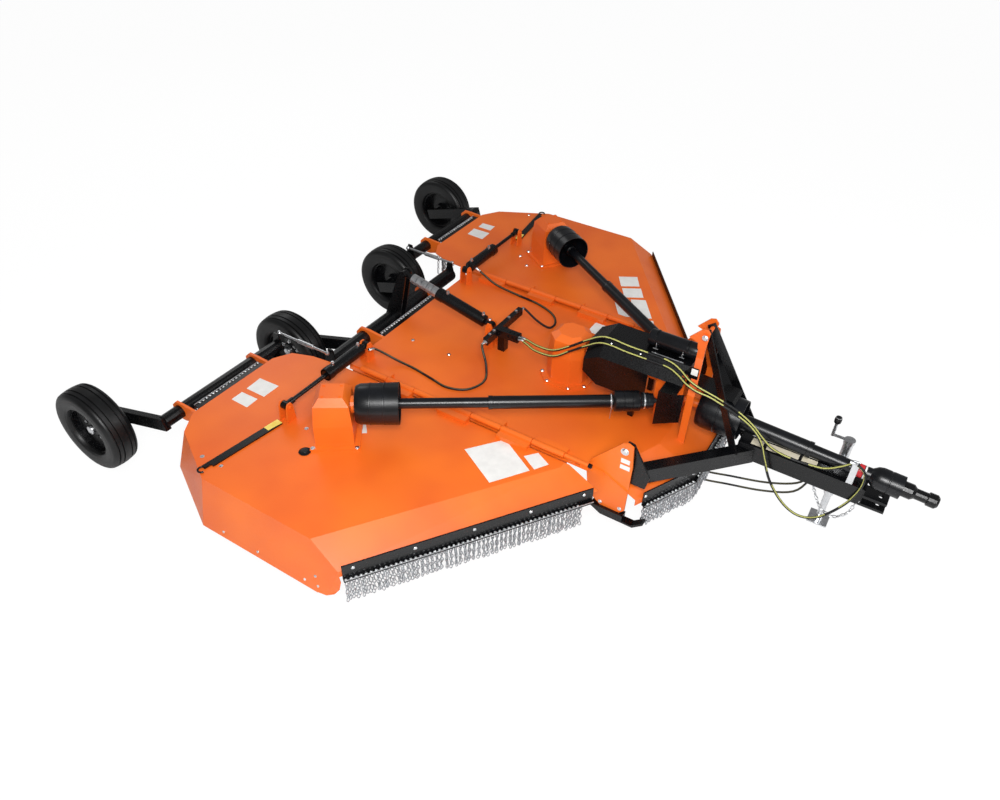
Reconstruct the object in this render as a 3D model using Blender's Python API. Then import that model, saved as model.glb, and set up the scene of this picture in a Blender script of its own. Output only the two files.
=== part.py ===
"""A fifteen-foot flex-wing rotary cutter: three hinged decks on four wheels, with a tongue on its jack.

Metres, +Z up. The front is at -Y, the machine's left is at +X, and the ground is z = 0 under its middle.
A place along the machine is given as BACK, measured rearwards from the wing decks' rear edge.
"""
import math

import bmesh
import bpy
from mathutils import Matrix, Vector

for old in list(bpy.data.objects):
    bpy.data.objects.remove(old, do_unlink=True)

# Clearances: between touching pieces, and between pieces that move past each other
FIT = 0.0003
RUN = 0.006
BORE = 0.0005

# How finely round pieces are faceted
SIDES = 14
WHEEL_SIDES = 24

# Wheels and the arms that carry them
TYRE_RADIUS = 0.330
TYRE_WIDTH = 0.210
BEAD_RADIUS = 0.190
HUB_RADIUS = 0.055
HUB_FRONT = 0.030
HUB_BACK = 0.044
SPINDLE_RADIUS = 0.025
CENTRE_WHEEL_X = 0.689
WING_WHEEL_X = 2.200
WHEEL_ARM = 0.570
AXLE_Z = 0.510
WING_AXLE_BACK = 0.161
CENTRE_AXLE_BACK = -0.340
WING_AXLE_RADIUS = 0.050
CENTRE_AXLE_RADIUS = 0.060
ARM_THICK = 0.045
ARM_DEPTH = 0.100

# Decks
SHEET = 0.006
DECK_TOP = 0.576
EDGE_Z = 0.450
SKIRT_BOTTOM = 0.220
HINGE_X = 0.849
HINGE_Z = 0.610
HINGE_RADIUS = 0.022
HINGE_FRONT = -2.420
HINGE_REAR = -0.680
HINGE_PIN_RADIUS = 0.012
HINGE_KNUCKLES = 7
CENTRE_HALF = HINGE_X - 0.031
CENTRE_REAR = -0.530
CENTRE_FOLD = -2.700
CENTRE_SHOULDER = -2.950
CENTRE_FRONT = -3.180
CENTRE_NOSE_HALF = 0.350
WING_INNER = HINGE_X + 0.031
WING_HALF = 2.300
SKIRT_HALF = 2.390

# Rotors
WING_ROTOR_X = 1.500
WING_ROTOR_BACK = -1.000
CENTRE_ROTOR_BACK = -2.000
ROTOR_REACH = 0.760
PAN_RADIUS = 0.360
BLADE_Z = 0.270
BLADE_WIDTH = 0.100
BLADE_THICK = 0.012
SHAFT_RADIUS = 0.035

# Drive
DRIVE_Z = 0.850
GEARBOX_HALF = 0.130
GEARBOX_TOP = 0.965
SPLITTER_BACK = -2.820
SPLITTER_HALF = 0.100
DRIVE_TUBE_RADIUS = 0.045
DRIVE_INNER_RADIUS = 0.036
SHIELD_RADIUS = 0.145
SHIELD_LENGTH = 0.290
SHIELD_WALL = 0.006

# Input driveline
INPUT_Z = 0.745
INPUT_JOINT_BACK = -3.100
INPUT_FRONT_BACK = -4.620
INPUT_RADIUS = 0.055
INPUT_INNER_RADIUS = 0.045
INPUT_SPLIT_BACK = -3.800

# Tongue, hitch and jack
TONGUE_HALF = 0.080
TONGUE_TOP = 0.630
TONGUE_DEPTH = 0.130
TONGUE_REAR = -3.400
TONGUE_FRONT = -4.200
PIVOT_X = 0.770
PIVOT_BACK = -2.840
PIVOT_Z = 0.830
PIVOT_RADIUS = 0.020
LEG_Z = 0.592
LEG_DEPTH = 0.120
LEG_THICK = 0.080
HITCH_BACK = -4.330
HITCH_Z = 0.500
JACK_BACK = -4.010
JACK_X = 0.180
JACK_RADIUS = 0.032
JACK_TOP = 0.740

# Lift and fold cylinders
LIFT_BASE_BACK = -1.300
LIFT_BASE_Z = 0.760
LIFT_PIN_BACK = -0.470
LIFT_PIN_Z = 0.950
LIFT_RADIUS = 0.048
LIFT_BARREL = 0.520
LIFT_ROD_RADIUS = 0.019
FOLD_BACK = -0.600
FOLD_BASE_X = 0.690
FOLD_PIN_X = 1.560
FOLD_PIN_Z = 0.700
FOLD_RADIUS = 0.045
FOLD_BARREL = 0.460
FOLD_ROD_RADIUS = 0.016
PIN_RADIUS = 0.014
PIN_HEAD = 0.012

# Everything is placed so that the part's box stands centred on the origin
REARMOST = WING_AXLE_BACK + WHEEL_ARM + TYRE_RADIUS
MIDDLE = (REARMOST + INPUT_FRONT_BACK) / 2
WHEEL_DROP = AXLE_Z - TYRE_RADIUS


def at(x, back, z):
    """A point from its place across the machine, its place along it and its height."""
    return Vector((x, back - MIDDLE, z))


def material(name, colour, rough, metal=0.0):
    finish = bpy.data.materials.new(name)
    finish.use_nodes = True
    shader = finish.node_tree.nodes["Principled BSDF"]
    shader.inputs["Base Color"].default_value = (*colour, 1.0)
    shader.inputs["Roughness"].default_value = rough
    shader.inputs["Metallic"].default_value = metal
    return finish


ORANGE = material("orange_enamel", (0.86, 0.19, 0.02), 0.4)
BLACK = material("black_enamel", (0.012, 0.012, 0.014), 0.4)
PLASTIC = material("black_polyethylene", (0.015, 0.015, 0.02), 0.45)
RUBBER = material("tyre_rubber", (0.02, 0.02, 0.022), 0.7)
STEEL = material("bare_steel", (0.45, 0.45, 0.46), 0.4, 1.0)
ZINC = material("zinc_plate", (0.62, 0.63, 0.65), 0.3, 1.0)
HOSE = material("hose_rubber", (0.014, 0.014, 0.016), 0.5)


# Shapes: each returns a closed mesh in world space

def mesh_of(points, faces):
    """A closed mesh from corners and faces, with its faces turned outwards."""
    data = bpy.data.meshes.new("shape")
    data.from_pydata([tuple(p) for p in points], [], faces)
    work = bmesh.new()
    work.from_mesh(data)
    bmesh.ops.recalc_face_normals(work, faces=work.faces)
    work.to_mesh(data)
    work.free()
    return data


def loft(rings):
    """A closed body through rings of equally many points, with flat ends."""
    count = len(rings[0])
    points = [p for ring in rings for p in ring]
    faces = [tuple(range(count)), tuple(range(len(points) - count, len(points)))]
    for r in range(len(rings) - 1):
        low = r * count
        for k in range(count):
            n = (k + 1) % count
            faces.append((low + k, low + n, low + count + n, low + count + k))
    return mesh_of(points, faces)


def box(x0, x1, back0, back1, z0, z1):
    low = [at(x0, back0, z0), at(x1, back0, z0), at(x1, back1, z0), at(x0, back1, z0)]
    high = [p + Vector((0, 0, z1 - z0)) for p in low]
    return loft([low, high])


def side_plate(outline, x0, x1):
    """A plate across the machine, from an outline of (back, z) points."""
    return loft([[at(x, b, z) for b, z in outline] for x in (x0, x1)])


def flat_plate(outline, z0, z1):
    """A level plate, from an outline of (x, back) points."""
    return loft([[at(x, b, z) for x, b in outline] for z in (z0, z1)])


def cross_plate(outline, back0, back1):
    """A plate along the machine, from an outline of (x, z) points."""
    return loft([[at(x, b, z) for x, z in outline] for b in (back0, back1)])


def frame_on(direction):
    """Two unit vectors square to a direction."""
    along = Vector(direction).normalized()
    helper = Vector((0, 0, 1)) if abs(along.z) < 0.9 else Vector((1, 0, 0))
    side = along.cross(helper).normalized()
    return side, side.cross(along).normalized()


def ring_of(centre, direction, radius, sides, turn=0.0):
    side, up = frame_on(direction)
    angles = [turn + 2 * math.pi * k / sides for k in range(sides)]
    return [centre + (side * math.cos(a) + up * math.sin(a)) * radius for a in angles]


def rod(start, end, radius, sides=SIDES, turn=0.0):
    """A round bar from start to end."""
    direction = end - start
    return loft([ring_of(p, direction, radius, sides, turn) for p in (start, end)])


def turned(start, direction, profile, sides=SIDES):
    """A body turned on an axis, from (place along it, radius) steps; a closed profile has a hollow."""
    along = Vector(direction).normalized()
    rings = [ring_of(start + along * s, along, r, sides) for s, r in profile]
    return loft(rings)


def hollow(start, direction, profile, sides=SIDES):
    """A turned body whose profile closes on itself, as a tyre's or a bell's does."""
    along = Vector(direction).normalized()
    rings = [ring_of(start + along * s, along, r, sides) for s, r in profile]
    points = [p for ring in rings for p in ring]
    faces = []
    for r in range(len(rings)):
        low, high = r * sides, ((r + 1) % len(rings)) * sides
        for k in range(sides):
            n = (k + 1) % sides
            faces.append((low + k, low + n, high + n, high + k))
    return mesh_of(points, faces)


def ball(radius, place=0.0, first=25, last=155, steps=6):
    """The (place, radius) steps of a ball's profile between two angles from the axis, in degrees."""
    angles = [math.radians(first + (last - first) * k / steps) for k in range(steps + 1)]
    return [(place - radius * math.cos(a), radius * math.sin(a)) for a in angles]


def beam(start, end, width, depth, up=(0, 0, 1)):
    """A square bar from start to end, width across and depth upwards."""
    along = (end - start).normalized()
    side = along.cross(Vector(up)).normalized() * width / 2
    rise = side.cross(along).normalized() * depth / 2
    corners = (side + rise, side - rise, -side - rise, -side + rise)
    return loft([[p + c for c in corners] for p in (start, end)])


def sheet(points, faces, thickness=SHEET):
    """A folded sheet: its outer surface, thickened inwards."""
    data = bpy.data.meshes.new("sheet")
    data.from_pydata([tuple(p) for p in points], [], faces)
    work = bmesh.new()
    work.from_mesh(data)
    bmesh.ops.recalc_face_normals(work, faces=work.faces)
    middle = sum((v.co for v in work.verts), Vector()) / len(work.verts)
    outward = sum(f.calc_area() * f.normal.dot(f.calc_center_median() - middle) for f in work.faces)
    if outward < 0:
        bmesh.ops.reverse_faces(work, faces=work.faces)
    work.to_mesh(data)
    work.free()
    holder = bpy.data.objects.new("sheet", data)
    bpy.context.collection.objects.link(holder)
    wall = holder.modifiers.new("wall", "SOLIDIFY")
    wall.thickness = thickness
    wall.offset = -1.0
    wall.use_even_offset = True
    wall.use_quality_normals = True
    result = bpy.data.meshes.new_from_object(holder.evaluated_get(bpy.context.evaluated_depsgraph_get()))
    bpy.data.objects.remove(holder, do_unlink=True)
    work = bmesh.new()
    work.from_mesh(result)
    bmesh.ops.triangulate(work, faces=work.faces)
    work.to_mesh(result)
    work.free()
    return result


def mirrored(data):
    """The same shape on the machine's other side."""
    copy = data.copy()
    copy.transform(Matrix.Scale(-1, 4, Vector((1, 0, 0))))
    copy.flip_normals()
    return copy


def on_side(shapes, side):
    """Shapes drawn on the left, moved to the side asked for."""
    return shapes if side > 0 else [mirrored(s) for s in shapes]


def on_side_point(point, side):
    return Vector((point.x * side, point.y, point.z))


def temporary(data):
    item = bpy.data.objects.new("tool", data)
    bpy.context.collection.objects.link(item)
    return item


def fused(shapes, cuts=()):
    """One mesh from shapes that overlap, less the cuts."""
    base = temporary(shapes[0])
    tools = []
    for shape, how in [(s, "UNION") for s in shapes[1:]] + [(c, "DIFFERENCE") for c in cuts]:
        tool = temporary(shape)
        tools.append(tool)
        step = base.modifiers.new("step", "BOOLEAN")
        step.operation = how
        step.object = tool
        step.solver = "EXACT"
    result = bpy.data.meshes.new_from_object(base.evaluated_get(bpy.context.evaluated_depsgraph_get()))
    for item in [base, *tools]:
        bpy.data.objects.remove(item, do_unlink=True)
    return result


def node(name, shapes, finish, origin=None):
    """One named object, a single body fused from its shapes."""
    work = bmesh.new()
    work.from_mesh(fused(shapes) if len(shapes) > 1 else shapes[0])
    bmesh.ops.dissolve_degenerate(work, dist=1e-6, edges=work.edges)
    data = bpy.data.meshes.new(name)
    work.to_mesh(data)
    work.free()
    pivot = Vector(origin) if origin is not None else Vector((0, 0, 0))
    data.transform(Matrix.Translation(-pivot))
    data.materials.clear()
    data.materials.append(finish)
    data.shade_smooth()
    data.set_sharp_from_angle(angle=math.radians(35))
    item = bpy.data.objects.new(name, data)
    item.location = pivot
    bpy.context.collection.objects.link(item)
    return item


def bore_in(radius, sides=SIDES):
    """A bore's corner radius, so that a round bar of this radius turns in it."""
    return (radius + BORE) / math.cos(math.pi / sides)


def skirt_x(z):
    """How far out the wing's sloping side stands at a height."""
    share = (DECK_TOP - z) / (DECK_TOP - SKIRT_BOTTOM)
    return WING_HALF + (SKIRT_HALF - WING_HALF) * share


# Decks

def knuckles(own):
    """Every other tube of the left hinge, each on a leaf: 0 for the centre deck's, 1 for the wing's."""
    pitch = (HINGE_REAR - HINGE_FRONT) / HINGE_KNUCKLES
    shapes = []
    for k in range(own, HINGE_KNUCKLES, 2):
        back0 = HINGE_FRONT + k * pitch + RUN / 2
        back1 = HINGE_FRONT + (k + 1) * pitch - RUN / 2
        tube = rod(at(HINGE_X, back0, HINGE_Z), at(HINGE_X, back1, HINGE_Z), HINGE_RADIUS)
        near, far = (WING_INNER - 0.018, WING_INNER + 0.05) if own else (CENTRE_HALF - 0.05, CENTRE_HALF + 0.018)
        leaf = box(near, far, back0, back1, DECK_TOP - SHEET / 2, HINGE_Z)
        bore = rod(at(HINGE_X, back0 - RUN, HINGE_Z), at(HINGE_X, back1 + RUN, HINGE_Z), bore_in(HINGE_PIN_RADIUS))
        shapes += [fused([tube, leaf], [bore])] if own else [tube, leaf]
    return shapes


def hinge_pin():
    """The long pin through the left hinge, welded into the centre deck's tubes."""
    return rod(at(HINGE_X, HINGE_FRONT, HINGE_Z), at(HINGE_X, HINGE_REAR, HINGE_Z), HINGE_PIN_RADIUS)


WING_TOP = [
    (1.100, 0.000), (1.885, 0.000), (2.050, -0.103), (WING_HALF, -0.554), (WING_HALF, -1.476),
    (0.930, -2.440), (WING_INNER, -2.440), (WING_INNER, -0.480), (0.905, -0.240), (0.964, -0.075),
]
WING_EDGE = [(skirt_x(EDGE_Z), -1.700), (0.930, -2.660)]
LIP = 0.050


def wing_sheet():
    """The wing's folded sheet: top, outer side, front flange and turned-down edges."""
    top = [at(x, b, DECK_TOP) for x, b in WING_TOP]
    count = len(top)
    low = [
        at(1.100, 0.004, DECK_TOP - LIP), at(1.885, 0.004, DECK_TOP - LIP),
        at(1.930, 0.030, 0.330), at(2.140, -0.075, 0.300), at(SKIRT_HALF, -0.560, SKIRT_BOTTOM),
        at(SKIRT_HALF, -1.560, SKIRT_BOTTOM), at(skirt_x(0.28), -1.650, 0.280),
        at(*WING_EDGE[0], EDGE_Z), at(*WING_EDGE[1], EDGE_Z),
        at(*WING_EDGE[0], EDGE_Z - LIP), at(*WING_EDGE[1], EDGE_Z - LIP),
        at(WING_INNER, -2.440, DECK_TOP - LIP), at(WING_INNER, -0.480, DECK_TOP - LIP),
    ]
    rear0, rear1, corner0, corner1, side0, side1, side2, edge0, edge1, lip0, lip1, in0, in1 = (
        range(count, count + len(low)))
    faces = [
        tuple(range(count)), (0, 1, rear1, rear0), (1, 2, corner1, corner0), (2, 3, side0, corner1),
        (3, 4, edge0, side2, side1, side0), (4, 5, edge1, edge0), (edge0, edge1, lip1, lip0),
        (6, 7, in1, in0),
    ]
    return sheet(top + low, faces)


def bracket(outline, x, thick, centre, radius):
    """A bearing plate across the machine with a bore for a tube."""
    plate = side_plate(outline, x - thick / 2, x + thick / 2)
    hole = rod(at(x - thick, *centre), at(x + thick, *centre), bore_in(radius), turn=math.pi / SIDES)
    return fused([plate], [hole])


def wing_brackets():
    centre = (WING_AXLE_BACK, AXLE_Z)
    reach = WING_AXLE_RADIUS + 0.022
    outline = [
        (-0.060, DECK_TOP - SHEET), (-0.060, DECK_TOP - 0.08), (centre[0] - 0.04, centre[1] - reach),
        (centre[0] + 0.04, centre[1] - reach), (centre[0] + reach, centre[1] - 0.03),
        (centre[0] + reach, centre[1] + 0.03), (centre[0] + 0.03, centre[1] + reach),
        (centre[0] - 0.05, centre[1] + reach),
    ]
    return [bracket(outline, x, 0.020, centre, WING_AXLE_RADIUS) for x in (1.150, 1.860)]


EYE_HALF = 0.022
EYE_RADIUS = 0.030
EAR_GAP = 2 * (EYE_HALF + RUN)
EAR_THICK = 0.012
EAR_REACH = 0.030


def ears(x, back, pin_z, across, pinned):
    """Two upright plates for a cylinder's eye, with a pin through both, or its two ends where it is not pinned."""
    across = Vector(across)
    along = Vector((across.y, across.x, 0))
    centre = at(x, back, pin_z)
    low, high = Vector((0, 0, DECK_TOP - SHEET / 2 - pin_z)), Vector((0, 0, EYE_RADIUS))
    shapes = []
    for sign in (-1, 1):
        rings = []
        for out in (EAR_GAP / 2, EAR_GAP / 2 + EAR_THICK):
            face = centre + across * sign * out
            corners = [low - along * 1.4 * EAR_REACH, low + along * 1.4 * EAR_REACH, along * EAR_REACH,
                       high + along * 0.5 * EAR_REACH, high - along * 0.5 * EAR_REACH, -along * EAR_REACH]
            rings.append([face + c for c in corners])
        shapes.append(loft(rings))
        root = 0.0 if pinned else EAR_GAP / 2 + EAR_THICK / 2
        end = EAR_GAP / 2 + EAR_THICK + PIN_HEAD
        shapes.append(rod(centre + across * sign * root, centre + across * sign * end, PIN_RADIUS))
    return shapes


def wing_deck(side):
    shapes = [wing_sheet(), *knuckles(1), *wing_brackets()]
    shapes += ears(FOLD_PIN_X, FOLD_BACK, FOLD_PIN_Z, (0, 1, 0), False)
    name = "left" if side > 0 else "right"
    return node(f"{name}_wing_deck", on_side(shapes, side), ORANGE)


def centre_sheet():
    half, lip_z = CENTRE_HALF, DECK_TOP - LIP
    top = [
        at(half, CENTRE_REAR, DECK_TOP), at(half, CENTRE_FOLD, DECK_TOP),
        at(CENTRE_NOSE_HALF, CENTRE_FOLD - 0.20, DECK_TOP), at(-CENTRE_NOSE_HALF, CENTRE_FOLD - 0.20, DECK_TOP),
        at(-half, CENTRE_FOLD, DECK_TOP), at(-half, CENTRE_REAR, DECK_TOP),
    ]
    edge = [
        at(half, CENTRE_SHOULDER, EDGE_Z), at(CENTRE_NOSE_HALF, CENTRE_FRONT, EDGE_Z),
        at(-CENTRE_NOSE_HALF, CENTRE_FRONT, EDGE_Z), at(-half, CENTRE_SHOULDER, EDGE_Z),
    ]
    lips = [p - Vector((0, 0, LIP)) for p in edge]
    ends = [
        at(half, CENTRE_REAR, lip_z), at(half, CENTRE_FOLD, lip_z),
        at(-half, CENTRE_FOLD, lip_z), at(-half, CENTRE_REAR, lip_z),
    ]
    faces = [
        (0, 1, 2, 3, 4, 5), (1, 6, 7, 2), (2, 7, 8, 3), (3, 8, 9, 4),
        (6, 10, 11, 7), (7, 11, 12, 8), (8, 12, 13, 9), (0, 14, 15, 1), (4, 16, 17, 5),
    ]
    return sheet(top + edge + lips + ends, faces)


SIDE_PLATE = [
    (-2.800, 0.875), (-2.835, 0.885), (-2.870, 0.868), (-2.885, 0.700), (-2.880, 0.300), (-2.845, 0.262),
    (-2.700, 0.262), (-2.600, 0.340), (-2.570, 0.540), (-2.600, 0.640),
]
SIDE_PLATE_X = 0.795


def centre_brackets():
    centre = (CENTRE_AXLE_BACK, AXLE_Z)
    reach = CENTRE_AXLE_RADIUS + 0.022
    outline = [
        (CENTRE_REAR - 0.06, DECK_TOP - SHEET), (CENTRE_REAR - 0.06, DECK_TOP - 0.09),
        (centre[0] - 0.05, centre[1] - reach), (centre[0] + 0.04, centre[1] - reach),
        (centre[0] + reach, centre[1] - 0.03), (centre[0] + reach, centre[1] + 0.03),
        (centre[0] + 0.04, centre[1] + reach), (centre[0] - 0.05, centre[1] + reach),
    ]
    return [bracket(outline, x, 0.024, centre, CENTRE_AXLE_RADIUS) for x in (-0.400, 0.400)]


def centre_deck():
    left = [*knuckles(0), side_plate(SIDE_PLATE, SIDE_PLATE_X, SIDE_PLATE_X + 0.012)]
    left += [hinge_pin(), *ears(FOLD_BASE_X, FOLD_BACK, FOLD_PIN_Z, (0, 1, 0), True)]
    shapes = [centre_sheet(), *centre_brackets(), *left, *[mirrored(s) for s in left]]
    shapes += ears(0, LIFT_BASE_BACK, LIFT_BASE_Z, (1, 0, 0), True)
    return node("centre_deck", shapes, ORANGE)


def front_skid(side):
    """The bent shoe under a side plate."""
    outline = [(-2.640, 0.2617), (-2.640, 0.245), (-2.720, 0.200), (-2.960, 0.200), (-3.030, 0.262),
               (-3.018, 0.272), (-2.950, 0.215), (-2.880, 0.2147), (-2.880, 0.2617)]
    shoe = side_plate(outline, SIDE_PLATE_X - SKID_INNER, SIDE_PLATE_X + 0.035)
    name = "left" if side > 0 else "right"
    return node(f"{name}_front_skid", on_side([shoe], side), BLACK)


# Chain guards: a black angle along an edge, with its curtain of chains

GUARD_DEPTH = 0.070
GUARD_THICK = 0.008
GUARD_PROUD = 0.034
CHAIN_BOTTOM = 0.200
CHAIN_PITCH = 0.052
CHAIN_WIDTH = 0.026
CHAIN_THICK = 0.009
SKID_INNER = 0.025


def guard_run(stops, top):
    """One guard along its stops, each (x, back), mitred where it turns and standing just outside the edge."""
    places = [at(*p, 0) for p in stops]
    runs = [(b - a).normalized() for a, b in zip(places, places[1:])]
    outs = [Vector((-r.y, r.x, 0)) for r in runs]
    shelf = top - GUARD_DEPTH
    section = [(0.0, top), (GUARD_THICK, top), (GUARD_THICK, shelf), (GUARD_PROUD, shelf),
               (GUARD_PROUD, shelf - GUARD_THICK), (0.0, shelf - GUARD_THICK)]
    rings = []
    for k, place in enumerate(places):
        before, after = outs[max(k - 1, 0)], outs[min(k, len(outs) - 1)]
        mitre = (before + after).normalized()
        mitre /= mitre.dot(after)
        rings.append([place + mitre * (o + FIT) + Vector((0, 0, z)) for o, z in section])
    shapes = [loft(rings)]
    for start, end, run, out in zip(places, places[1:], runs, outs):
        count = int((end - start).length / CHAIN_PITCH)
        for k in range(count):
            middle = start + (end - start) * (k + 0.5) / count + out * (GUARD_PROUD - CHAIN_THICK)
            high, low = (middle + Vector((0, 0, z)) for z in (shelf - GUARD_THICK / 2, CHAIN_BOTTOM))
            shapes.append(beam(high, low, CHAIN_THICK, CHAIN_WIDTH, run))
    return shapes


def on_edge(first, last, x):
    """The place on the line between two (x, back) places that lies at this x."""
    share = (x - first[0]) / (last[0] - first[0])
    return x, first[1] + (last[1] - first[1]) * share


def wing_front_guard(side):
    stops = [on_edge(*WING_EDGE, x) for x in (WING_HALF, WING_INNER + 0.110)]
    name = "left" if side > 0 else "right"
    return node(f"{name}_front_chain_guard", on_side(guard_run(stops, EDGE_Z + 0.002), side), BLACK)


def wing_rear_guard(side):
    shapes = guard_run([(1.190, 0.004), (1.820, 0.004)], DECK_TOP - 0.004)
    name = "left" if side > 0 else "right"
    return node(f"{name}_rear_chain_guard", on_side(shapes, side), BLACK)


def centre_front_guard():
    nose = (CENTRE_NOSE_HALF, CENTRE_FRONT)
    outer = on_edge(nose, (CENTRE_HALF, CENTRE_SHOULDER), SIDE_PLATE_X - SKID_INNER - GUARD_PROUD)
    stops = [outer, nose, (-nose[0], nose[1]), (-outer[0], outer[1])]
    return node("centre_front_chain_guard", guard_run(stops, EDGE_Z + 0.002), BLACK)


def centre_rear_guard():
    stops = [(-0.370, CENTRE_REAR), (0.370, CENTRE_REAR)]
    return node("centre_rear_chain_guard", guard_run(stops, DECK_TOP - 0.001), BLACK)


# Gearboxes, rotors and the drive

def drive_direction():
    """From the left wing's gearbox to the splitter's output joint, level."""
    gap = splitter_joint() - at(WING_ROTOR_X, WING_ROTOR_BACK, DRIVE_Z)
    return gap.normalized()


def splitter_joint():
    return at(SPLITTER_HALF + 0.140, SPLITTER_BACK, DRIVE_Z)


BALL = 0.030
STUB_RADIUS = 0.022
BOSS_RADIUS = 0.060
BOSS_REACH = GEARBOX_HALF + 0.032
WING_JOINT_REACH = BOSS_REACH + 0.150


def wing_gearbox(side):
    half, base = GEARBOX_HALF, DECK_TOP + FIT
    start = at(WING_ROTOR_X, WING_ROTOR_BACK, DRIVE_Z)
    along = drive_direction()
    side_on = Vector((-along.y, along.x, 0))

    def square(reach, z):
        foot = Vector((start.x, start.y, z))
        return [foot + (along * i + side_on * j) * reach for i, j in ((1, 1), (-1, 1), (-1, -1), (1, -1))]

    body = loft([square(half, base), square(half, base + 0.18), square(half * 0.9, GEARBOX_TOP - 0.05),
                 square(half * 0.6, GEARBOX_TOP)])
    flange = loft([square(half + 0.035, base), square(half + 0.035, base + 0.015)])
    boss = rod(start, start + along * BOSS_REACH, BOSS_RADIUS)
    stub = rod(start, start + along * (BOSS_REACH + 0.065), STUB_RADIUS)
    name = "left" if side > 0 else "right"
    return node(f"{name}_wing_gearbox", on_side([body, flange, boss, stub], side), ORANGE)


def wing_shield(side):
    """The bell-shaped guard round the wing gearbox's input joint."""
    start = at(WING_ROTOR_X, WING_ROTOR_BACK, DRIVE_Z) + drive_direction() * (BOSS_REACH - 0.012)
    wall, r, neck = SHIELD_WALL, SHIELD_RADIUS, BOSS_RADIUS + BORE
    profile = [(0, neck), (0, r * 0.86), (0.03, r * 0.95), (SHIELD_LENGTH, r), (SHIELD_LENGTH, r - wall),
               (0.03, r * 0.95 - wall), (wall, r * 0.86 - wall), (wall, neck)]
    shape = hollow(start, drive_direction(), profile)
    name = "left" if side > 0 else "right"
    return node(f"{name}_joint_shield", on_side([shape], side), PLASTIC)


def rotor(name, x, back, phase):
    """A spindle with its round pan and two swinging blades."""
    top = at(x, back, DECK_TOP - SHEET - FIT)
    down = Vector((0, 0, -1))
    pan_top = DECK_TOP - SHEET - FIT - (BLADE_Z + 0.055)
    profile = [(0, SHAFT_RADIUS), (pan_top, SHAFT_RADIUS), (pan_top, 0.10), (pan_top + 0.012, PAN_RADIUS * 0.8),
               (pan_top + 0.035, PAN_RADIUS), (pan_top + 0.043, PAN_RADIUS), (pan_top + 0.045, 0.10)]
    shapes = [turned(top, down, profile)]
    centre = at(x, back, 0)
    for turn in (phase, phase + math.pi):
        reach = Vector((math.cos(turn), math.sin(turn), 0))
        across = Vector((-reach.y, reach.x, 0)) * BLADE_WIDTH / 2
        pin = centre + reach * PAN_RADIUS * 0.85
        root, tip = centre + reach * PAN_RADIUS * 0.68, centre + reach * ROTOR_REACH
        outline = [root - across, tip - across * 0.4, tip + across, root + across]
        low, high = BLADE_Z - BLADE_THICK / 2, BLADE_Z + BLADE_THICK / 2
        blade = loft([[p + Vector((0, 0, z)) for p in outline] for z in (low, high)])
        bolt = rod(pin + Vector((0, 0, low - 0.015)), pin + Vector((0, 0, BLADE_Z + 0.040)), 0.020)
        shapes += [blade, bolt]
    return node(name, shapes, STEEL, centre)


CENTRE_BOX_HALF = 0.150
CENTRE_NECK = 0.225
CENTRE_NECK_RADIUS = 0.055
NOSE_RADIUS = 0.034


def centre_gearbox():
    half, base = CENTRE_BOX_HALF, DECK_TOP + FIT
    b = CENTRE_ROTOR_BACK
    outline = [(half, half * 0.5), (half * 0.5, half), (-half * 0.5, half), (-half, half * 0.5),
               (-half, -half * 0.5), (-half * 0.5, -half), (half * 0.5, -half), (half, -half * 0.5)]
    body = loft([[at(i * s, b + j * s, z) for i, j in outline]
                 for s, z in ((1, base), (1, base + 0.24), (0.92, GEARBOX_TOP - 0.02), (0.6, GEARBOX_TOP + 0.015))])
    flange = flat_plate([(i * 1.3, b + j * 1.3) for i, j in outline], base, base + 0.015)
    neck = rod(at(0, b, DRIVE_Z), at(0, b - CENTRE_NECK, DRIVE_Z), CENTRE_NECK_RADIUS)
    return node("centre_gearbox", [body, flange, neck], ORANGE)


def splitter_gearbox():
    """The gearbox that shares the drive, on its stand, with the shaft to the centre gearbox."""
    b, half = SPLITTER_BACK, SPLITTER_HALF
    body = box(-half, half, b - half, b + half, DRIVE_Z - 0.10, DRIVE_Z + 0.10)
    output_end = splitter_joint().x - BALL - BORE
    outputs = rod(at(-output_end, b, DRIVE_Z), at(output_end, b, DRIVE_Z), STUB_RADIUS)
    shaft = rod(at(0, b, DRIVE_Z), at(0, CENTRE_ROTOR_BACK - CENTRE_NECK - FIT, DRIVE_Z), 0.030)
    nose = rod(at(0, b, INPUT_Z), at(0, INPUT_JOINT_BACK + BALL + BORE, INPUT_Z), NOSE_RADIUS)
    housing = box(-half * 0.7, half * 0.7, b - half, b + half * 0.5, INPUT_Z - 0.06, DRIVE_Z)
    stand = [box(s * 0.075 - 0.008, s * 0.075 + 0.008, b - half, b + half * 0.9, DECK_TOP + FIT, DRIVE_Z - 0.08)
             for s in (-1, 1)]
    return node("splitter_gearbox", [body, outputs, shaft, nose, housing, *stand], ORANGE)


HOOD_HALF = 0.195
HOOD_REAR = -2.190
HOOD_FRONT = -2.930
HOOD_TOP = 1.100
HOOD_LOW = 0.740
HOOD_SIDE_END = -2.680
CANISTER_RADIUS = 0.055
SIDE_FLAP_X = 0.325
SIDE_FLAP_REAR = -2.815


def manual_canister():
    """A capped plastic tube for papers on its low cradle, on top of the cover."""
    r = CANISTER_RADIUS
    z = HOOD_TOP + r + 0.004
    profile = [(0, r - 0.005), (0.006, r), (0.290, r), (0.290, r + 0.002), (0.374, r + 0.002), (0.380, r - 0.003)]
    cradles = [box(-0.03, 0.03, b - 0.02, b, HOOD_TOP - 0.002, z - 0.04) for b in (-2.640, -2.820)]
    return [turned(at(0, -2.590, z), (0, -1, 0), profile), *cradles]


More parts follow.
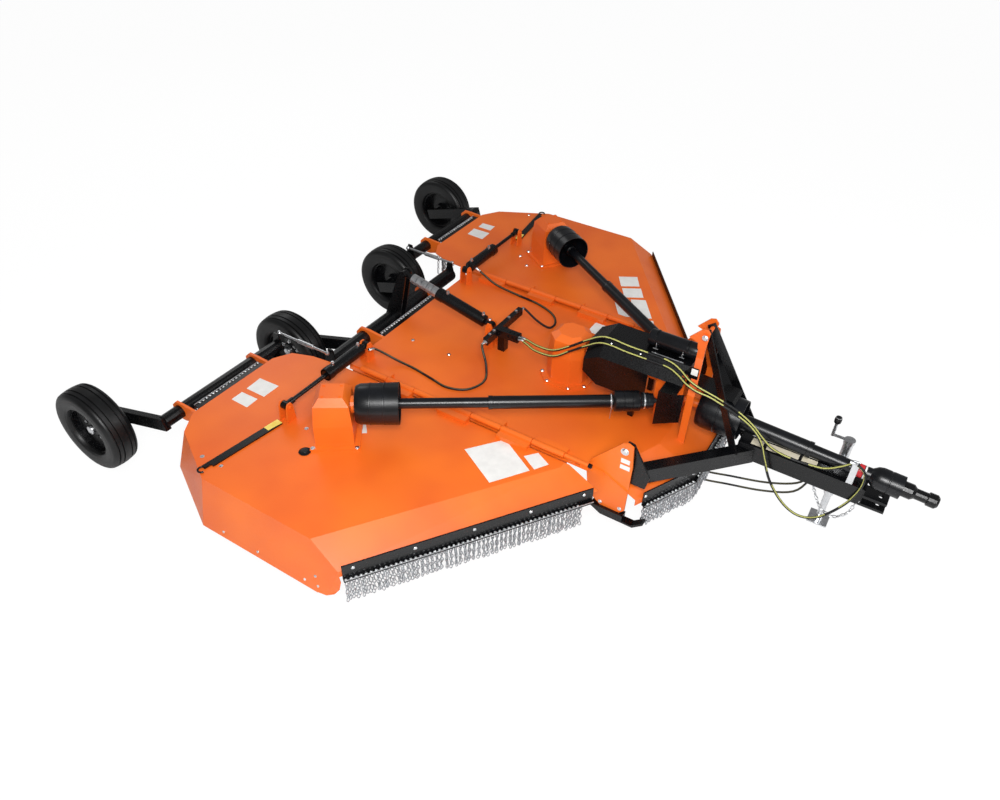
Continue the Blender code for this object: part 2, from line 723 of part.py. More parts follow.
def side_flap():
    """The left guard that stands out over the splitter's output joint: a roof from the cover and a plate."""
    rear, x, roof = SIDE_FLAP_REAR, SIDE_FLAP_X, HOOD_TOP - 0.116
    plate = [(rear, 0.700), (-2.990, 0.795), (-2.990, 1.030), (HOOD_FRONT, roof + 0.020), (rear, roof + 0.004)]
    return [box(HOOD_HALF - 0.010, x + 0.002, HOOD_FRONT, rear, roof - 0.006, roof),
            side_plate(plate, x, x + 0.004)]


def bell_flap():
    """The plate over the input's bell, held by an upright across the cover's front."""
    flap = [(-2.926, 0.940), (-3.255, 0.925), (-3.275, 0.903), (-3.271, 0.900), (-3.252, 0.919), (-2.926, 0.934)]
    return [side_plate(flap, -0.085, 0.085),
            box(-0.085, 0.085, HOOD_FRONT - 0.004, HOOD_FRONT + 0.004, 0.915, HOOD_TOP - 0.001)]


def driveline_cover():
    """The folded hood over the splitter and its shaft, open below and round the side joints."""
    def section(back, inset, low, top):
        half = HOOD_HALF - inset
        return [at(-half, back, low), at(-half, back, top - 0.12), at(-half + 0.09, back, top),
                at(half - 0.09, back, top), at(half, back, top - 0.12), at(half, back, low)]
    rows = [section(HOOD_REAR, 0.012, HOOD_LOW + 0.070, HOOD_TOP - 0.070),
            section(HOOD_REAR - 0.120, 0.0, HOOD_LOW, HOOD_TOP),
            section(HOOD_SIDE_END, 0.0, HOOD_LOW, HOOD_TOP), section(HOOD_FRONT, 0.0, HOOD_LOW, HOOD_TOP)]
    points = [p for row in rows for p in row]
    faces = []
    for r in range(3):
        for k in range(5):
            if r < 2 or k in (1, 2, 3):
                faces.append((6 * r + k, 6 * r + k + 1, 6 * r + k + 7, 6 * r + k + 6))
    faces.append((0, 1, 2, 3, 4, 5))
    hood = sheet(points, faces, 0.004)
    foot = box(-HOOD_HALF + 0.001, -0.16, HOOD_SIDE_END + 0.06, HOOD_SIDE_END + 0.10, DECK_TOP + FIT, HOOD_LOW + 0.10)
    way = rod(at(0, HOOD_REAR - 0.05, DRIVE_Z), at(0, HOOD_REAR + 0.05, DRIVE_Z), bore_in(CENTRE_NECK_RADIUS))
    left = [foot, *side_flap()]
    shapes = [hood, *left, *[mirrored(s) for s in left], *bell_flap(), *manual_canister()]
    return node("driveline_cover", [fused(shapes, [way])], BLACK)


def drive_length():
    start = splitter_joint()
    end = at(WING_ROTOR_X, WING_ROTOR_BACK, DRIVE_Z) + drive_direction() * WING_JOINT_REACH
    return (end - start).length


def wing_drive(side):
    """The telescoping shaft's two halves, each with its joint's end."""
    start, away = splitter_joint(), -drive_direction()
    reach = drive_length()
    tube_end, wall = reach * 0.62, 0.004
    r, inner = DRIVE_TUBE_RADIUS, DRIVE_INNER_RADIUS
    bore = inner + BORE
    outer_profile = [*ball(BALL), (0.055, 0.024), (0.060, 0.050), (0.148, 0.058), (0.154, 0.072), (0.325, 0.072),
                     (0.335, r), (tube_end, r), (tube_end, bore), (0.20, bore)]
    inner_profile = [(0.58, inner), (reach - 0.10, inner), (reach - 0.09, 0.044), (reach - 0.045, 0.044),
                     (reach - 0.040, 0.020), *ball(BALL, reach, 42, 155)]
    name = "left" if side > 0 else "right"
    node(f"{name}_drive_outer", on_side([turned(start, away, outer_profile)], side), PLASTIC)
    node(f"{name}_drive_inner", on_side([turned(start, away, inner_profile)], side), PLASTIC)


def input_axis():
    start = at(0, INPUT_JOINT_BACK, INPUT_Z)
    end = at(0, INPUT_FRONT_BACK, INPUT_Z - 0.075)
    return start, (end - start).normalized(), (end - start).length


def input_driveline():
    """The input shaft in its guard tubes: rear half, front half with its bell, and the yoke that spins."""
    start, away, reach = input_axis()
    split = 0.72
    r, inner = INPUT_RADIUS, INPUT_INNER_RADIUS
    rear = [*ball(BALL), (0.06, 0.024), (0.065, r + 0.012),
            (0.16, r + 0.012), (0.17, r), (split, r), (split, inner + BORE), (0.20, inner + BORE)]
    node("input_shaft_rear", [turned(start, away, rear)], PLASTIC)
    bell = reach - 0.42
    front = [(0.32, inner), (bell, inner), (bell + 0.03, 0.070), (bell + 0.06, 0.078), (bell + 0.20, 0.078),
             (bell + 0.20, 0.072), (bell + 0.06, 0.072), (bell + 0.05, 0.030), (bell + 0.07, 0.030)]
    node("input_shaft_front", [turned(start, away, front)], PLASTIC)
    s = bell + 0.07 + FIT
    yoke = turned(start + away * s, away,
                  [(0, 0.030), (0.10, 0.030), (0.12, 0.052), (0.19, 0.052), (0.21, 0.036), (0.28, 0.036),
                   (0.285, 0.046), (0.335, 0.046), (reach - s, 0.032)])
    node("input_yoke", [yoke], BLACK, start)


def input_shield():
    """The big bell round the input's rear joint, on the splitter's stand."""
    start = at(0, SPLITTER_BACK - SPLITTER_HALF - 0.12, INPUT_Z)
    r, wall, neck = 0.150, SHIELD_WALL, NOSE_RADIUS + BORE
    profile = [(0, neck), (0, r * 0.93), (0.05, r), (0.16, r), (0.30, r * 0.93), (0.30, r * 0.93 - wall),
               (0.16, r - wall), (0.05, r - wall), (wall, r * 0.93 - wall), (wall, neck)]
    return node("input_joint_shield", [hollow(start, (0, -1, 0), profile)], PLASTIC)


# Mast, tongue, hitch and jack

MAST_BACK = -2.985
HEAD_PIN_Z = 1.350
MAST_FOOT_X = 0.185
MAST_HEAD_X = 0.070
MAST_PLATE = 0.012


def nose_z(back):
    """The height of the centre deck's sloping nose."""
    top = CENTRE_FOLD - 0.20
    return DECK_TOP + (back - top) * (DECK_TOP - EDGE_Z) / (top - CENTRE_FRONT)


def mast():
    """Two flat bars that stand on the deck's nose and lean together, with a plate on each for the head pin."""
    t, rear, front = MAST_PLATE, -2.975, -3.025
    rows = [(MAST_FOOT_X, rear, nose_z(rear) + FIT, front, nose_z(front) + FIT),
            (MAST_FOOT_X, rear, 0.940, front, 0.940),
            (MAST_HEAD_X, -2.950, 1.170, -2.998, 1.170),
            (MAST_HEAD_X, -2.950, 1.300, -2.998, 1.300)]
    bar = loft([[at(x, b0, z0), at(x + t, b0, z0), at(x + t, b1, z1), at(x, b1, z1)] for x, b0, z0, b1, z1 in rows])
    plate = side_plate([(-2.876, 1.306), (-2.950, 1.390), (-2.985, 1.400), (-3.008, 1.375), (-2.998, 1.240),
                        (-2.945, 1.240), (-2.940, 1.285)], MAST_HEAD_X, MAST_HEAD_X + t)
    left = [bar, plate]
    reach = MAST_HEAD_X + 0.030
    head = rod(at(-reach, MAST_BACK, HEAD_PIN_Z), at(reach, MAST_BACK, HEAD_PIN_Z), PIN_RADIUS)
    return node("mast", [*left, *[mirrored(s) for s in left], head], ORANGE)


def mast_strut():
    """The left flat bar from the head pin down to the side of the tongue's leg."""
    pin, foot = at(0.044, MAST_BACK, HEAD_PIN_Z), at(0.195, -3.372, TONGUE_TOP - 0.030)
    bar = beam(pin + (pin - foot).normalized() * 0.028, foot, 0.012, 0.056)
    hole = rod(at(0, MAST_BACK, HEAD_PIN_Z), at(0.10, MAST_BACK, HEAD_PIN_Z), bore_in(PIN_RADIUS))
    return fused([bar], [hole])


def shaft_cradle():
    """The upright on the tongue that the parked input shaft lies on."""
    start, away, reach = input_axis()
    back, half = TONGUE_FRONT + 0.10, 0.012
    along = (at(0, back - half, 0).y - start.y) / away.y
    flat = INPUT_INNER_RADIUS * math.cos(math.pi / SIDES) / math.sqrt(1 - away.z ** 2)
    top = start.z + away.z * along - flat - FIT
    return box(-0.030, 0.030, back - half, back + half, TONGUE_TOP - 0.050, top)


def tongue():
    """The A-frame's two legs, the beam and the hitch plates."""
    mid = TONGUE_TOP - TONGUE_DEPTH / 2
    top = at(0, TONGUE_REAR + 0.04, mid)
    front = at(0, TONGUE_FRONT, mid - 0.010)
    shapes = [beam(top, front, 2 * TONGUE_HALF, TONGUE_DEPTH)]
    for sign in (-1, 1):
        rear = at(sign * (PIVOT_X - 0.020), PIVOT_BACK - 0.040, LEG_Z)
        shapes.append(beam(rear, at(sign * 0.045, TONGUE_REAR - 0.06, mid - 0.02), LEG_THICK, LEG_DEPTH))
        inner, outer = sorted((sign * (PIVOT_X + 0.009), sign * (PIVOT_X - 0.006)))
        gusset = [(PIVOT_BACK + 0.020, PIVOT_Z + 0.045), (PIVOT_BACK - 0.025, PIVOT_Z + 0.035),
                  (PIVOT_BACK - 0.160, LEG_Z + 0.05), (PIVOT_BACK - 0.140, LEG_Z - 0.055),
                  (PIVOT_BACK - 0.040, LEG_Z - 0.055), (PIVOT_BACK + 0.010, PIVOT_Z - 0.05)]
        shapes.append(side_plate(gusset, inner, outer))
    pin = [rod(at(s * (PIVOT_X - 0.02), PIVOT_BACK, PIVOT_Z), at(s * (SIDE_PLATE_X - FIT), PIVOT_BACK, PIVOT_Z),
               PIVOT_RADIUS) for s in (-1, 1)]
    plates = [box(-0.060, 0.060, HITCH_BACK - 0.03, TONGUE_FRONT + 0.05, z, z + 0.020)
              for z in (HITCH_Z - 0.035, HITCH_Z + 0.035)]
    plates.append(box(-0.060, 0.060, TONGUE_FRONT - 0.01, TONGUE_FRONT + 0.05, HITCH_Z - 0.035, HITCH_Z + 0.10))
    hole = rod(at(0, HITCH_BACK + 0.02, HITCH_Z - 0.1), at(0, HITCH_BACK + 0.02, HITCH_Z + 0.1), 0.017)
    strut = mast_strut()
    body = fused([*shapes, *pin, *plates, strut, mirrored(strut), shaft_cradle()], [hole])
    return node("tongue", [body], BLACK)


JACK_PIVOT_Z = 0.560
JACK_PIVOT_RADIUS = 0.030
JACK_LOW = 0.260
LEG_RADIUS = 0.024


def jack():
    """The parking jack: its outer tube on a pivot, the crank on top, and the leg with its foot."""
    pivot = at(JACK_X, JACK_BACK, JACK_PIVOT_Z)
    side = at(TONGUE_HALF + FIT, JACK_BACK, JACK_PIVOT_Z)
    low, high = at(JACK_X, JACK_BACK, JACK_LOW), at(JACK_X, JACK_BACK, JACK_TOP)
    bore = LEG_RADIUS + BORE
    length = high.z - low.z
    body = turned(high, (0, 0, -1), [(0, JACK_RADIUS), (length, JACK_RADIUS), (length, bore), (0.03, bore)])
    trunnion = rod(side + Vector((0.004, 0, 0)), pivot - Vector((bore + 0.002, 0, 0)), JACK_PIVOT_RADIUS)
    plate = rod(side, side + Vector((0.010, 0, 0)), JACK_PIVOT_RADIUS + 0.022)
    cap = rod(high - Vector((0, 0, 0.005)), high + Vector((0, 0, 0.025)), JACK_RADIUS + 0.006)
    crank_end = high + Vector((0, 0.120, 0.018))
    arm = beam(high + Vector((0, 0, 0.018)), crank_end, 0.014, 0.014)
    grip = rod(crank_end - Vector((0, 0.007, 0.007)), crank_end + Vector((0, -0.007, 0.110)), 0.011, 12)
    knob = rod(crank_end + Vector((0, -0.007, 0.105)), crank_end + Vector((0, -0.007, 0.150)), 0.021, 12)
    node("jack_body", [body, trunnion, plate, cap, arm, grip, knob], ZINC, side)
    foot = box(JACK_X - 0.070, JACK_X + 0.070, JACK_BACK - 0.070, JACK_BACK + 0.070, 0.0, 0.010)
    leg = rod(at(JACK_X, JACK_BACK, 0.005), at(JACK_X, JACK_BACK, JACK_TOP - 0.260), LEG_RADIUS)
    node("jack_leg", [leg, foot], ZINC)


# Wheels, axles and the links that level them

def wheel(name, x, back, side):
    """A tyre on its rim; side says which way the rim's dish faces."""
    centre, out = at(x, back, TYRE_RADIUS), Vector((side, 0, 0))
    half, r, bead = TYRE_WIDTH / 2, TYRE_RADIUS, BEAD_RADIUS
    profile = [(-half * 0.62, bead), (-half * 0.95, bead + 0.030), (-half, r * 0.80), (-half * 0.90, r * 0.935),
               (-half * 0.62, r * 0.985), (-half * 0.25, r), (half * 0.25, r), (half * 0.62, r * 0.985),
               (half * 0.90, r * 0.935), (half, r * 0.80), (half * 0.95, bead + 0.030), (half * 0.62, bead)]
    node(f"{name}_tyre", [hollow(centre, out, profile, WHEEL_SIDES)], RUBBER, centre)
    rim_r = bead - FIT
    rim_half = half * 0.60
    bore = bore_in(SPINDLE_RADIUS, WHEEL_SIDES)
    rim = hollow(centre, out, [(-rim_half, rim_r), (-rim_half, rim_r - 0.008), (0.010, rim_r - 0.022),
                               (-0.002, HUB_RADIUS + 0.05), (-0.002, HUB_RADIUS), (-HUB_BACK, HUB_RADIUS * 0.8),
                               (-HUB_BACK, bore), (HUB_FRONT, bore), (HUB_FRONT, HUB_RADIUS),
                               (0.012, HUB_RADIUS + 0.012), (0.006, HUB_RADIUS + 0.05), (0.024, rim_r - 0.012),
                               (rim_half, rim_r - 0.008), (rim_half, rim_r)], WHEEL_SIDES)
    cap = turned(centre + out * HUB_FRONT, out, [(-0.004, 0.034), (0.022, 0.034), (0.030, 0.022)], WHEEL_SIDES)
    node(f"{name}_rim", [rim, cap], BLACK, centre)


def arm_and_spindle(x_inner, x_wheel, axle_back, wheel_back, side):
    """An arm from its axle tube back to a wheel, with the spindle that the hub turns on."""
    x_mid = x_inner + side * ARM_THICK / 2
    arm = beam(at(x_mid, axle_back - 0.03, AXLE_Z), at(x_mid, wheel_back + 0.035, TYRE_RADIUS - 0.010),
               ARM_THICK, ARM_DEPTH)
    spindle = rod(at(x_mid, wheel_back, TYRE_RADIUS), at(x_wheel + side * 0.020, wheel_back, TYRE_RADIUS),
                  SPINDLE_RADIUS)
    return [arm, spindle]


LEVER = HINGE_Z - AXLE_Z
LEVER_THICK = 0.012
LINK_BALL = 0.018
LINK_STUB = 0.009


def lever_at(x0, x1, back):
    outline = [(back - 0.055, AXLE_Z - 0.02), (back - 0.022, HINGE_Z + 0.018), (back + 0.022, HINGE_Z + 0.018),
               (back + 0.055, AXLE_Z - 0.02), (back, AXLE_Z - 0.06)]
    return side_plate(outline, x0, x1)


def wing_axle(side):
    """The wing's rockshaft: tube, lever at the hinge, arm and spindle."""
    x_in, x_out = WING_INNER, WING_WHEEL_X - TYRE_WIDTH / 2 - 0.095
    axis = (WING_AXLE_BACK, AXLE_Z)
    tube = rod(at(x_in + 0.004, *axis), at(x_out + 0.02, *axis), WING_AXLE_RADIUS)
    lever = lever_at(x_in, x_in + LEVER_THICK, WING_AXLE_BACK)
    stub = rod(at(x_in + 0.004, WING_AXLE_BACK, HINGE_Z), at(HINGE_X + LINK_BALL + RUN, WING_AXLE_BACK, HINGE_Z),
               LINK_STUB)
    shapes = [tube, lever, stub,
              *arm_and_spindle(x_out, WING_WHEEL_X, WING_AXLE_BACK, WING_AXLE_BACK + WHEEL_ARM, 1)]
    name = "left" if side > 0 else "right"
    pivot = at(side * (x_in + x_out) / 2, *axis)
    return node(f"{name}_wing_axle", on_side(shapes, side), BLACK, pivot)


CENTRE_TUBE_HALF = HINGE_X - LINK_BALL - RUN / 2 - LEVER_THICK + 0.003
LIFT_LEVER_THICK = 0.014


def centre_axle():
    """The centre rockshaft: tube, end levers, two arms and the lift lever in the middle."""
    axis = (CENTRE_AXLE_BACK, AXLE_Z)
    half = CENTRE_TUBE_HALF
    shapes = [rod(at(-half, *axis), at(half, *axis), CENTRE_AXLE_RADIUS)]
    inner = CENTRE_WHEEL_X - TYRE_WIDTH / 2 - 0.080
    left = [lever_at(half - LEVER_THICK, half, CENTRE_AXLE_BACK)]
    stub_end = HINGE_X - LINK_BALL - FIT
    left.append(rod(at(half - 0.004, CENTRE_AXLE_BACK, HINGE_Z), at(stub_end, CENTRE_AXLE_BACK, HINGE_Z), LINK_STUB))
    left += arm_and_spindle(inner, CENTRE_WHEEL_X, CENTRE_AXLE_BACK, CENTRE_AXLE_BACK + WHEEL_ARM, 1)
    b, z = LIFT_PIN_BACK, LIFT_PIN_Z
    lever = [(b - 0.035, z + 0.010), (b - 0.010, z + 0.038), (b + 0.030, z + 0.030),
             (CENTRE_AXLE_BACK + 0.075, AXLE_Z), (CENTRE_AXLE_BACK, AXLE_Z - 0.080), (CENTRE_AXLE_BACK - 0.075, AXLE_Z)]
    left.append(side_plate(lever, EAR_GAP / 2, EAR_GAP / 2 + LIFT_LEVER_THICK))
    left.append(rod(at(EAR_GAP / 2, b, z), at(EAR_GAP / 2 + LIFT_LEVER_THICK + 0.012, b, z), PIN_RADIUS + 0.006))
    shapes += left + [mirrored(s) for s in left]
    return node("centre_axle", shapes, BLACK, at(0, *axis))


def leveling_link(side):
    """The turnbuckle between the centre axle's lever and the wing axle's."""
    x = HINGE_X
    start, end = at(x, CENTRE_AXLE_BACK, HINGE_Z), at(x, WING_AXLE_BACK, HINGE_Z)
    reach = (end - start).length
    profile = [(-LINK_BALL * 0.9, 0.008), (-0.008, LINK_BALL), (0.008, LINK_BALL), (0.018, 0.010), (0.14, 0.010),
               (0.145, 0.017), (0.30, 0.017), (0.305, 0.010), (reach - 0.018, 0.010), (reach - 0.008, LINK_BALL),
               (reach + 0.008, LINK_BALL), (reach + LINK_BALL * 0.9, 0.008)]
    name = "left" if side > 0 else "right"
    link = turned(start, (0, 1, 0), profile)
    return node(f"{name}_leveling_link", on_side([link], side), ZINC, at(side * x, CENTRE_AXLE_BACK, HINGE_Z))


# Cylinders

def cylinder(prefix, base, pin, barrel, radius, rod_radius, inside, side):
    """A cylinder's barrel with its base eye, and its rod with the eye that ends near the pin."""
    along = (pin - base).normalized()
    reach = (pin - base).length
    bore = rod_radius + BORE
    across = Vector((0, 1, 0)) if abs(along.x) > 0.5 else Vector((1, 0, 0))
    eye = [rod(p - across * EYE_HALF, p + across * EYE_HALF, EYE_RADIUS) for p in (base, pin)]
    hole = rod(base - across * EAR_GAP, base + across * EAR_GAP, bore_in(PIN_RADIUS))
    profile = [(0.018, EYE_HALF), (0.050, EYE_HALF), (0.062, radius), (barrel, radius), (barrel, bore), (0.075, bore)]
    body = fused([turned(base, along, profile), eye[0]], [hole])
    node(f"{prefix}_barrel", on_side([body], side), BLACK, on_side_point(base, side))
    stem = rod(base + along * inside, base + along * (reach - 0.010), rod_radius)
    fork = rod(base + along * (reach - 0.075), base + along * (reach - 0.010), EYE_HALF)
    node(f"{prefix}_rod", on_side([stem, fork, eye[1]], side), BLACK, on_side_point(base, side))


def fold_cylinder(side):
    base, pin = at(FOLD_BASE_X, FOLD_BACK, FOLD_PIN_Z), at(FOLD_PIN_X, FOLD_BACK, FOLD_PIN_Z)
    name = "left" if side > 0 else "right"
    cylinder(f"{name}_fold", base, pin, FOLD_BARREL, FOLD_RADIUS, FOLD_ROD_RADIUS, 0.310, side)


def lift_cylinder():
    base, pin = at(0, LIFT_BASE_BACK, LIFT_BASE_Z), at(0, LIFT_PIN_BACK, LIFT_PIN_Z)
    cylinder("lift", base, pin, LIFT_BARREL, LIFT_RADIUS, LIFT_ROD_RADIUS, 0.250, 1)
    along = (pin - base).normalized()
    reach = (pin - base).length
    start, end = LIFT_BARREL + FIT, reach - 0.075 - FIT
    count = 5
    pitch = (end - start) / count
    bore = LIFT_ROD_RADIUS + BORE
    shapes = [hollow(base + along * (start + k * pitch), along,
                     [(0, 0.040), (pitch - 0.004, 0.040), (pitch - 0.004, bore), (0, bore)]) for k in range(count)]
    strap = Vector((-0.036, 0, 0))
    shapes.append(beam(base + along * start + strap, base + along * (end - 0.004) + strap, 0.014, 0.020))
    return node("stroke_spacers", shapes, ZINC)


def hose_manifold():
    """The cross bar and block where the hoses meet, on the deck in front of the lift cylinder."""
    base = DECK_TOP + FIT
    back = LIFT_BASE_BACK - 0.110
    bar = beam(at(-0.26, back, base + 0.22), at(0.26, back, base + 0.22), 0.040, 0.060)
    post = box(-0.03, 0.03, back - 0.03, back + 0.03, base, base + 0.20)
    block = box(-0.12, -0.06, MANIFOLD_FRONT, back - 0.01, base + 0.200, base + 0.260)
    return node("hose_manifold", [bar, post, block], BLACK)


MANIFOLD_FRONT = -1.610
HOSE_RADIUS = 0.009
HOSE_SIDES = 6


def tube(route, steps=2):
    """A hose: a smooth round tube through its places, each (x, back, z)."""
    stops = [at(*p) for p in route]
    ends = [2 * stops[0] - stops[1], *stops, 2 * stops[-1] - stops[-2]]
    path = []
    for a, b, c, d in zip(ends, ends[1:], ends[2:], ends[3:]):
        for k in range(steps):
            t = k / steps
            path.append(0.5 * (2 * b + (c - a) * t + (2 * a - 5 * b + 4 * c - d) * t ** 2
                               + (3 * b - a - 3 * c + d) * t ** 3))
    path.append(stops[-1])
    ways = [stops[1] - stops[0], *[c - a for a, c in zip(path, path[2:])], stops[-1] - stops[-2]]
    side = frame_on(ways[0])[0]
    rings = []
    for place, way in zip(path, ways):
        along = way.normalized()
        side = (side - along * side.dot(along)).normalized()
        up = along.cross(side)
        rings.append([place + (side * math.cos(a) + up * math.sin(a)) * HOSE_RADIUS
                      for a in (2 * math.pi * n / HOSE_SIDES for n in range(HOSE_SIDES))])
    return loft(rings)


# The two long hoses from the manifold, along the cover's bevel and the tongue to their holder
HOSE_HOLDER_BACK = -4.100
HOSE_HOLDER_X = -0.0700
HOSE_HOLDER_THICK = 0.009
LOOPED_HOSE = [
    (-0.105, MANIFOLD_FRONT - FIT, 0.806), (-0.105, -1.640, 0.806), (-0.128, -1.700, 0.806),
    (-0.175, -1.800, 0.815), (-0.202, -1.960, 0.850),
    (-0.178, -2.080, 0.930), (-0.157, -2.190, 1.005), (-0.1456, -2.310, 1.068), (-0.1456, -2.500, 1.064),
    (-0.1456, -2.680, 1.064), (-0.149, -2.800, 1.062), (-0.178, -2.880, 1.052), (-0.222, -2.960, 1.038),
    (-0.228, -3.040, 1.015), (-0.203, -3.140, 0.985), (-0.178, -3.300, 0.915),
    (-0.145, -3.420, 0.830), (-0.135, -3.505, 0.735), (-0.125, -3.560, 0.600), (-0.115, -3.640, 0.420),
    (-0.110, -3.760, 0.275), (-0.105, -3.880, 0.215), (-0.100, -3.990, 0.250), (-0.100, -4.080, 0.370),
    (-0.100, -4.150, 0.520), (-0.100, -4.180, 0.660), (-0.094, -4.165, 0.760), (-0.0855, -4.100, 0.800),
    (-0.0855, -4.060, 0.802),
]
TOP_HOSE = [
    (-0.075, MANIFOLD_FRONT - FIT, 0.806), (-0.075, -1.640, 0.806), (-0.090, -1.690, 0.814),
    (-0.145, -1.800, 0.842), (-0.178, -1.940, 0.880),
    (-0.158, -2.060, 0.950), (-0.132, -2.180, 1.035), (-0.1196, -2.310, 1.106), (-0.1196, -2.500, 1.100),
    (-0.1196, -2.700, 1.100), (-0.126, -2.810, 1.093), (-0.152, -2.890, 1.076), (-0.194, -2.965, 1.056),
    (-0.200, -3.045, 1.030), (-0.176, -3.160, 0.985),
    (-0.152, -3.300, 0.925), (-0.128, -3.420, 0.840), (-0.110, -3.500, 0.755), (-0.090, -3.580, 0.680),
    (-0.072, -3.680, 0.642), (-0.068, -3.800, 0.640), (-0.070, -3.930, 0.660), (-0.067, -4.020, 0.720),
    (-0.0635, -4.080, 0.775), (-0.0635, -4.120, 0.780),
]
RIGHT_FOLD_HOSE = [
    (0.745, -0.672, 0.715), (0.700, -0.690, 0.705), (0.655, -0.740, 0.660), (0.620, -0.840, 0.610),
    (0.610, -1.000, 0.588), (0.640, -1.180, 0.587), (0.660, -1.330, 0.587), (0.600, -1.470, 0.588),
    (0.460, -1.530, 0.600), (0.370, -1.490, 0.670), (0.320, -1.420, 0.780), (0.290, -1.410, 0.796),
    (0.260 + FIT, -1.410, 0.796),
]
LEFT_FOLD_HOSE = [
    (0.745, -0.672, 0.715), (0.752, -0.730, 0.680), (0.752, -0.880, 0.610), (0.745, -1.100, 0.588),
    (0.720, -1.320, 0.587), (0.650, -1.500, 0.587), (0.540, -1.590, 0.590), (0.430, -1.590, 0.605),
    (0.365, -1.510, 0.680), (0.320, -1.420, 0.780), (0.290, -1.410, 0.796), (0.260 + FIT, -1.410, 0.796),
]


def tongue_hoses():
    """The two long hoses, with the plate on the tongue that both ends are held by."""
    holder = box(HOSE_HOLDER_X - HOSE_HOLDER_THICK, HOSE_HOLDER_X, HOSE_HOLDER_BACK - 0.020, HOSE_HOLDER_BACK + 0.020,
                 TONGUE_TOP - 0.0082, 0.815)
    return node("tongue_hoses", [tube(LOOPED_HOSE), tube(TOP_HOSE), holder], HOSE)


def fold_hose(side):
    """The hose from the manifold to the base of a fold cylinder."""
    name, route = ("left", LEFT_FOLD_HOSE) if side > 0 else ("right", RIGHT_FOLD_HOSE)
    return node(f"{name}_fold_hose", on_side([tube(route)], side), HOSE)


def lock_bar(side):
    """The transport lock strap with its hooked end, lying on the wing."""
    z0 = DECK_TOP + FIT
    z1 = z0 + 0.012
    start, end = (FOLD_PIN_X + 0.060, FOLD_BACK + 0.020), (2.230, -0.500)
    run = Vector((end[0] - start[0], end[1] - start[1], 0)).normalized()
    across = Vector((-run.y, run.x, 0)) * 0.028
    a, b = at(*start, 0), at(*end, 0)
    outline = [a + across, b + across, b - across * 0.2, b - run * 0.05 - across * 0.2, b - run * 0.05 - across, a - across]
    strap = loft([[p + Vector((0, 0, z)) for p in outline] for z in (z0, z1)])
    name = "left" if side > 0 else "right"
    return node(f"{name}_lock_bar", on_side([strap], side), BLACK)


centre_deck()
centre_front_guard()
centre_rear_guard()
centre_gearbox()
splitter_gearbox()
driveline_cover()
mast()
tongue()
jack()
input_shield()
input_driveline()
centre_axle()
lift_cylinder()
hose_manifold()
tongue_hoses()
rotor("centre_rotor", 0, CENTRE_ROTOR_BACK, math.radians(20))
for SIDE, NAME in ((1, "left"), (-1, "right")):
    front_skid(SIDE)
    wing_deck(SIDE)
    wing_front_guard(SIDE)
    wing_rear_guard(SIDE)
    wing_gearbox(SIDE)
    wing_shield(SIDE)
    wing_drive(SIDE)
    wing_axle(SIDE)
    leveling_link(SIDE)
    fold_cylinder(SIDE)
    fold_hose(SIDE)
    lock_bar(SIDE)
    rotor(f"{NAME}_rotor", SIDE * WING_ROTOR_X, WING_ROTOR_BACK, math.radians(70))
    wheel(f"{NAME}_wing", SIDE * WING_WHEEL_X, WING_AXLE_BACK + WHEEL_ARM, SIDE)
    wheel(f"{NAME}_centre", SIDE * CENTRE_WHEEL_X, CENTRE_AXLE_BACK + WHEEL_ARM, SIDE)
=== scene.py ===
"""Looks of a fifteen-foot flex-wing rotary cutter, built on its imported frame.

Metres, +Z up. The front is at -Y and the machine's left at +X. A place along the machine is given as BACK,
measured rearwards from the wing decks' rear edge.
"""
import math

import bmesh
import bpy
from bpy.props import FloatProperty, FloatVectorProperty, IntProperty, PointerProperty
from mathutils import Matrix, Vector


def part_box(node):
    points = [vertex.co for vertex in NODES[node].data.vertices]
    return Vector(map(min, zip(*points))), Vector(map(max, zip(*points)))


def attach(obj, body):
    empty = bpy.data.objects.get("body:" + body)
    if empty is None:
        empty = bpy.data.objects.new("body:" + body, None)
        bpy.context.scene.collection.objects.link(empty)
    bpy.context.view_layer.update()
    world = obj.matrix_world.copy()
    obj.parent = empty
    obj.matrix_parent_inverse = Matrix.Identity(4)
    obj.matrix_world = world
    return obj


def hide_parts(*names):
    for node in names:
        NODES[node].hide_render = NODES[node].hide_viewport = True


bl_info = {
    "name": "Rotary Cutter",
    "version": (1, 0, 0),
    "blender": (4, 5, 0),
    "location": "View3D > Sidebar > Rotary Cutter",
    "description": "Dresses the packed frame of a flex-wing rotary cutter",
    "category": "Object",
}

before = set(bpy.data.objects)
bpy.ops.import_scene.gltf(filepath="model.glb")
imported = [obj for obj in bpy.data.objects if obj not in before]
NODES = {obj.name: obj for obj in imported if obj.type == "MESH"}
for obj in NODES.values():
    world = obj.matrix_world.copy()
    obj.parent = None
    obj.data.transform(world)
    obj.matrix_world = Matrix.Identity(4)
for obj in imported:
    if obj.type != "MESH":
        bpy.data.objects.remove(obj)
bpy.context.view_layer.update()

# Places and sizes shared with the frame
MIDDLE = -1.7795
DECK_TOP = 0.576
EDGE_Z = 0.450
WING_EDGE = ((2.3319, -1.700), (0.930, -2.660))
GUARD_DEPTH = 0.070
GUARD_THICK = 0.008
GUARD_PROUD = 0.034
GUARD_RISE = 0.042
REAR_PROUD = 0.062
CHAIN_INSET = 0.014
SEAT = 0.0003
CHAIN_BOTTOM = 0.200
SHAFT_Z = 0.850
SPLITTER_JOINT = (0.240, -2.820, SHAFT_Z)
WING_GEARBOX = (1.500, -1.000, SHAFT_Z)
BOSS_REACH = 0.162
INPUT_START = (0.0, -3.100, 0.745)
INPUT_END = (0.0, -4.620, 0.670)
LIFT = ((0.0, -1.300, 0.760), (0.0, -0.470, 0.950))
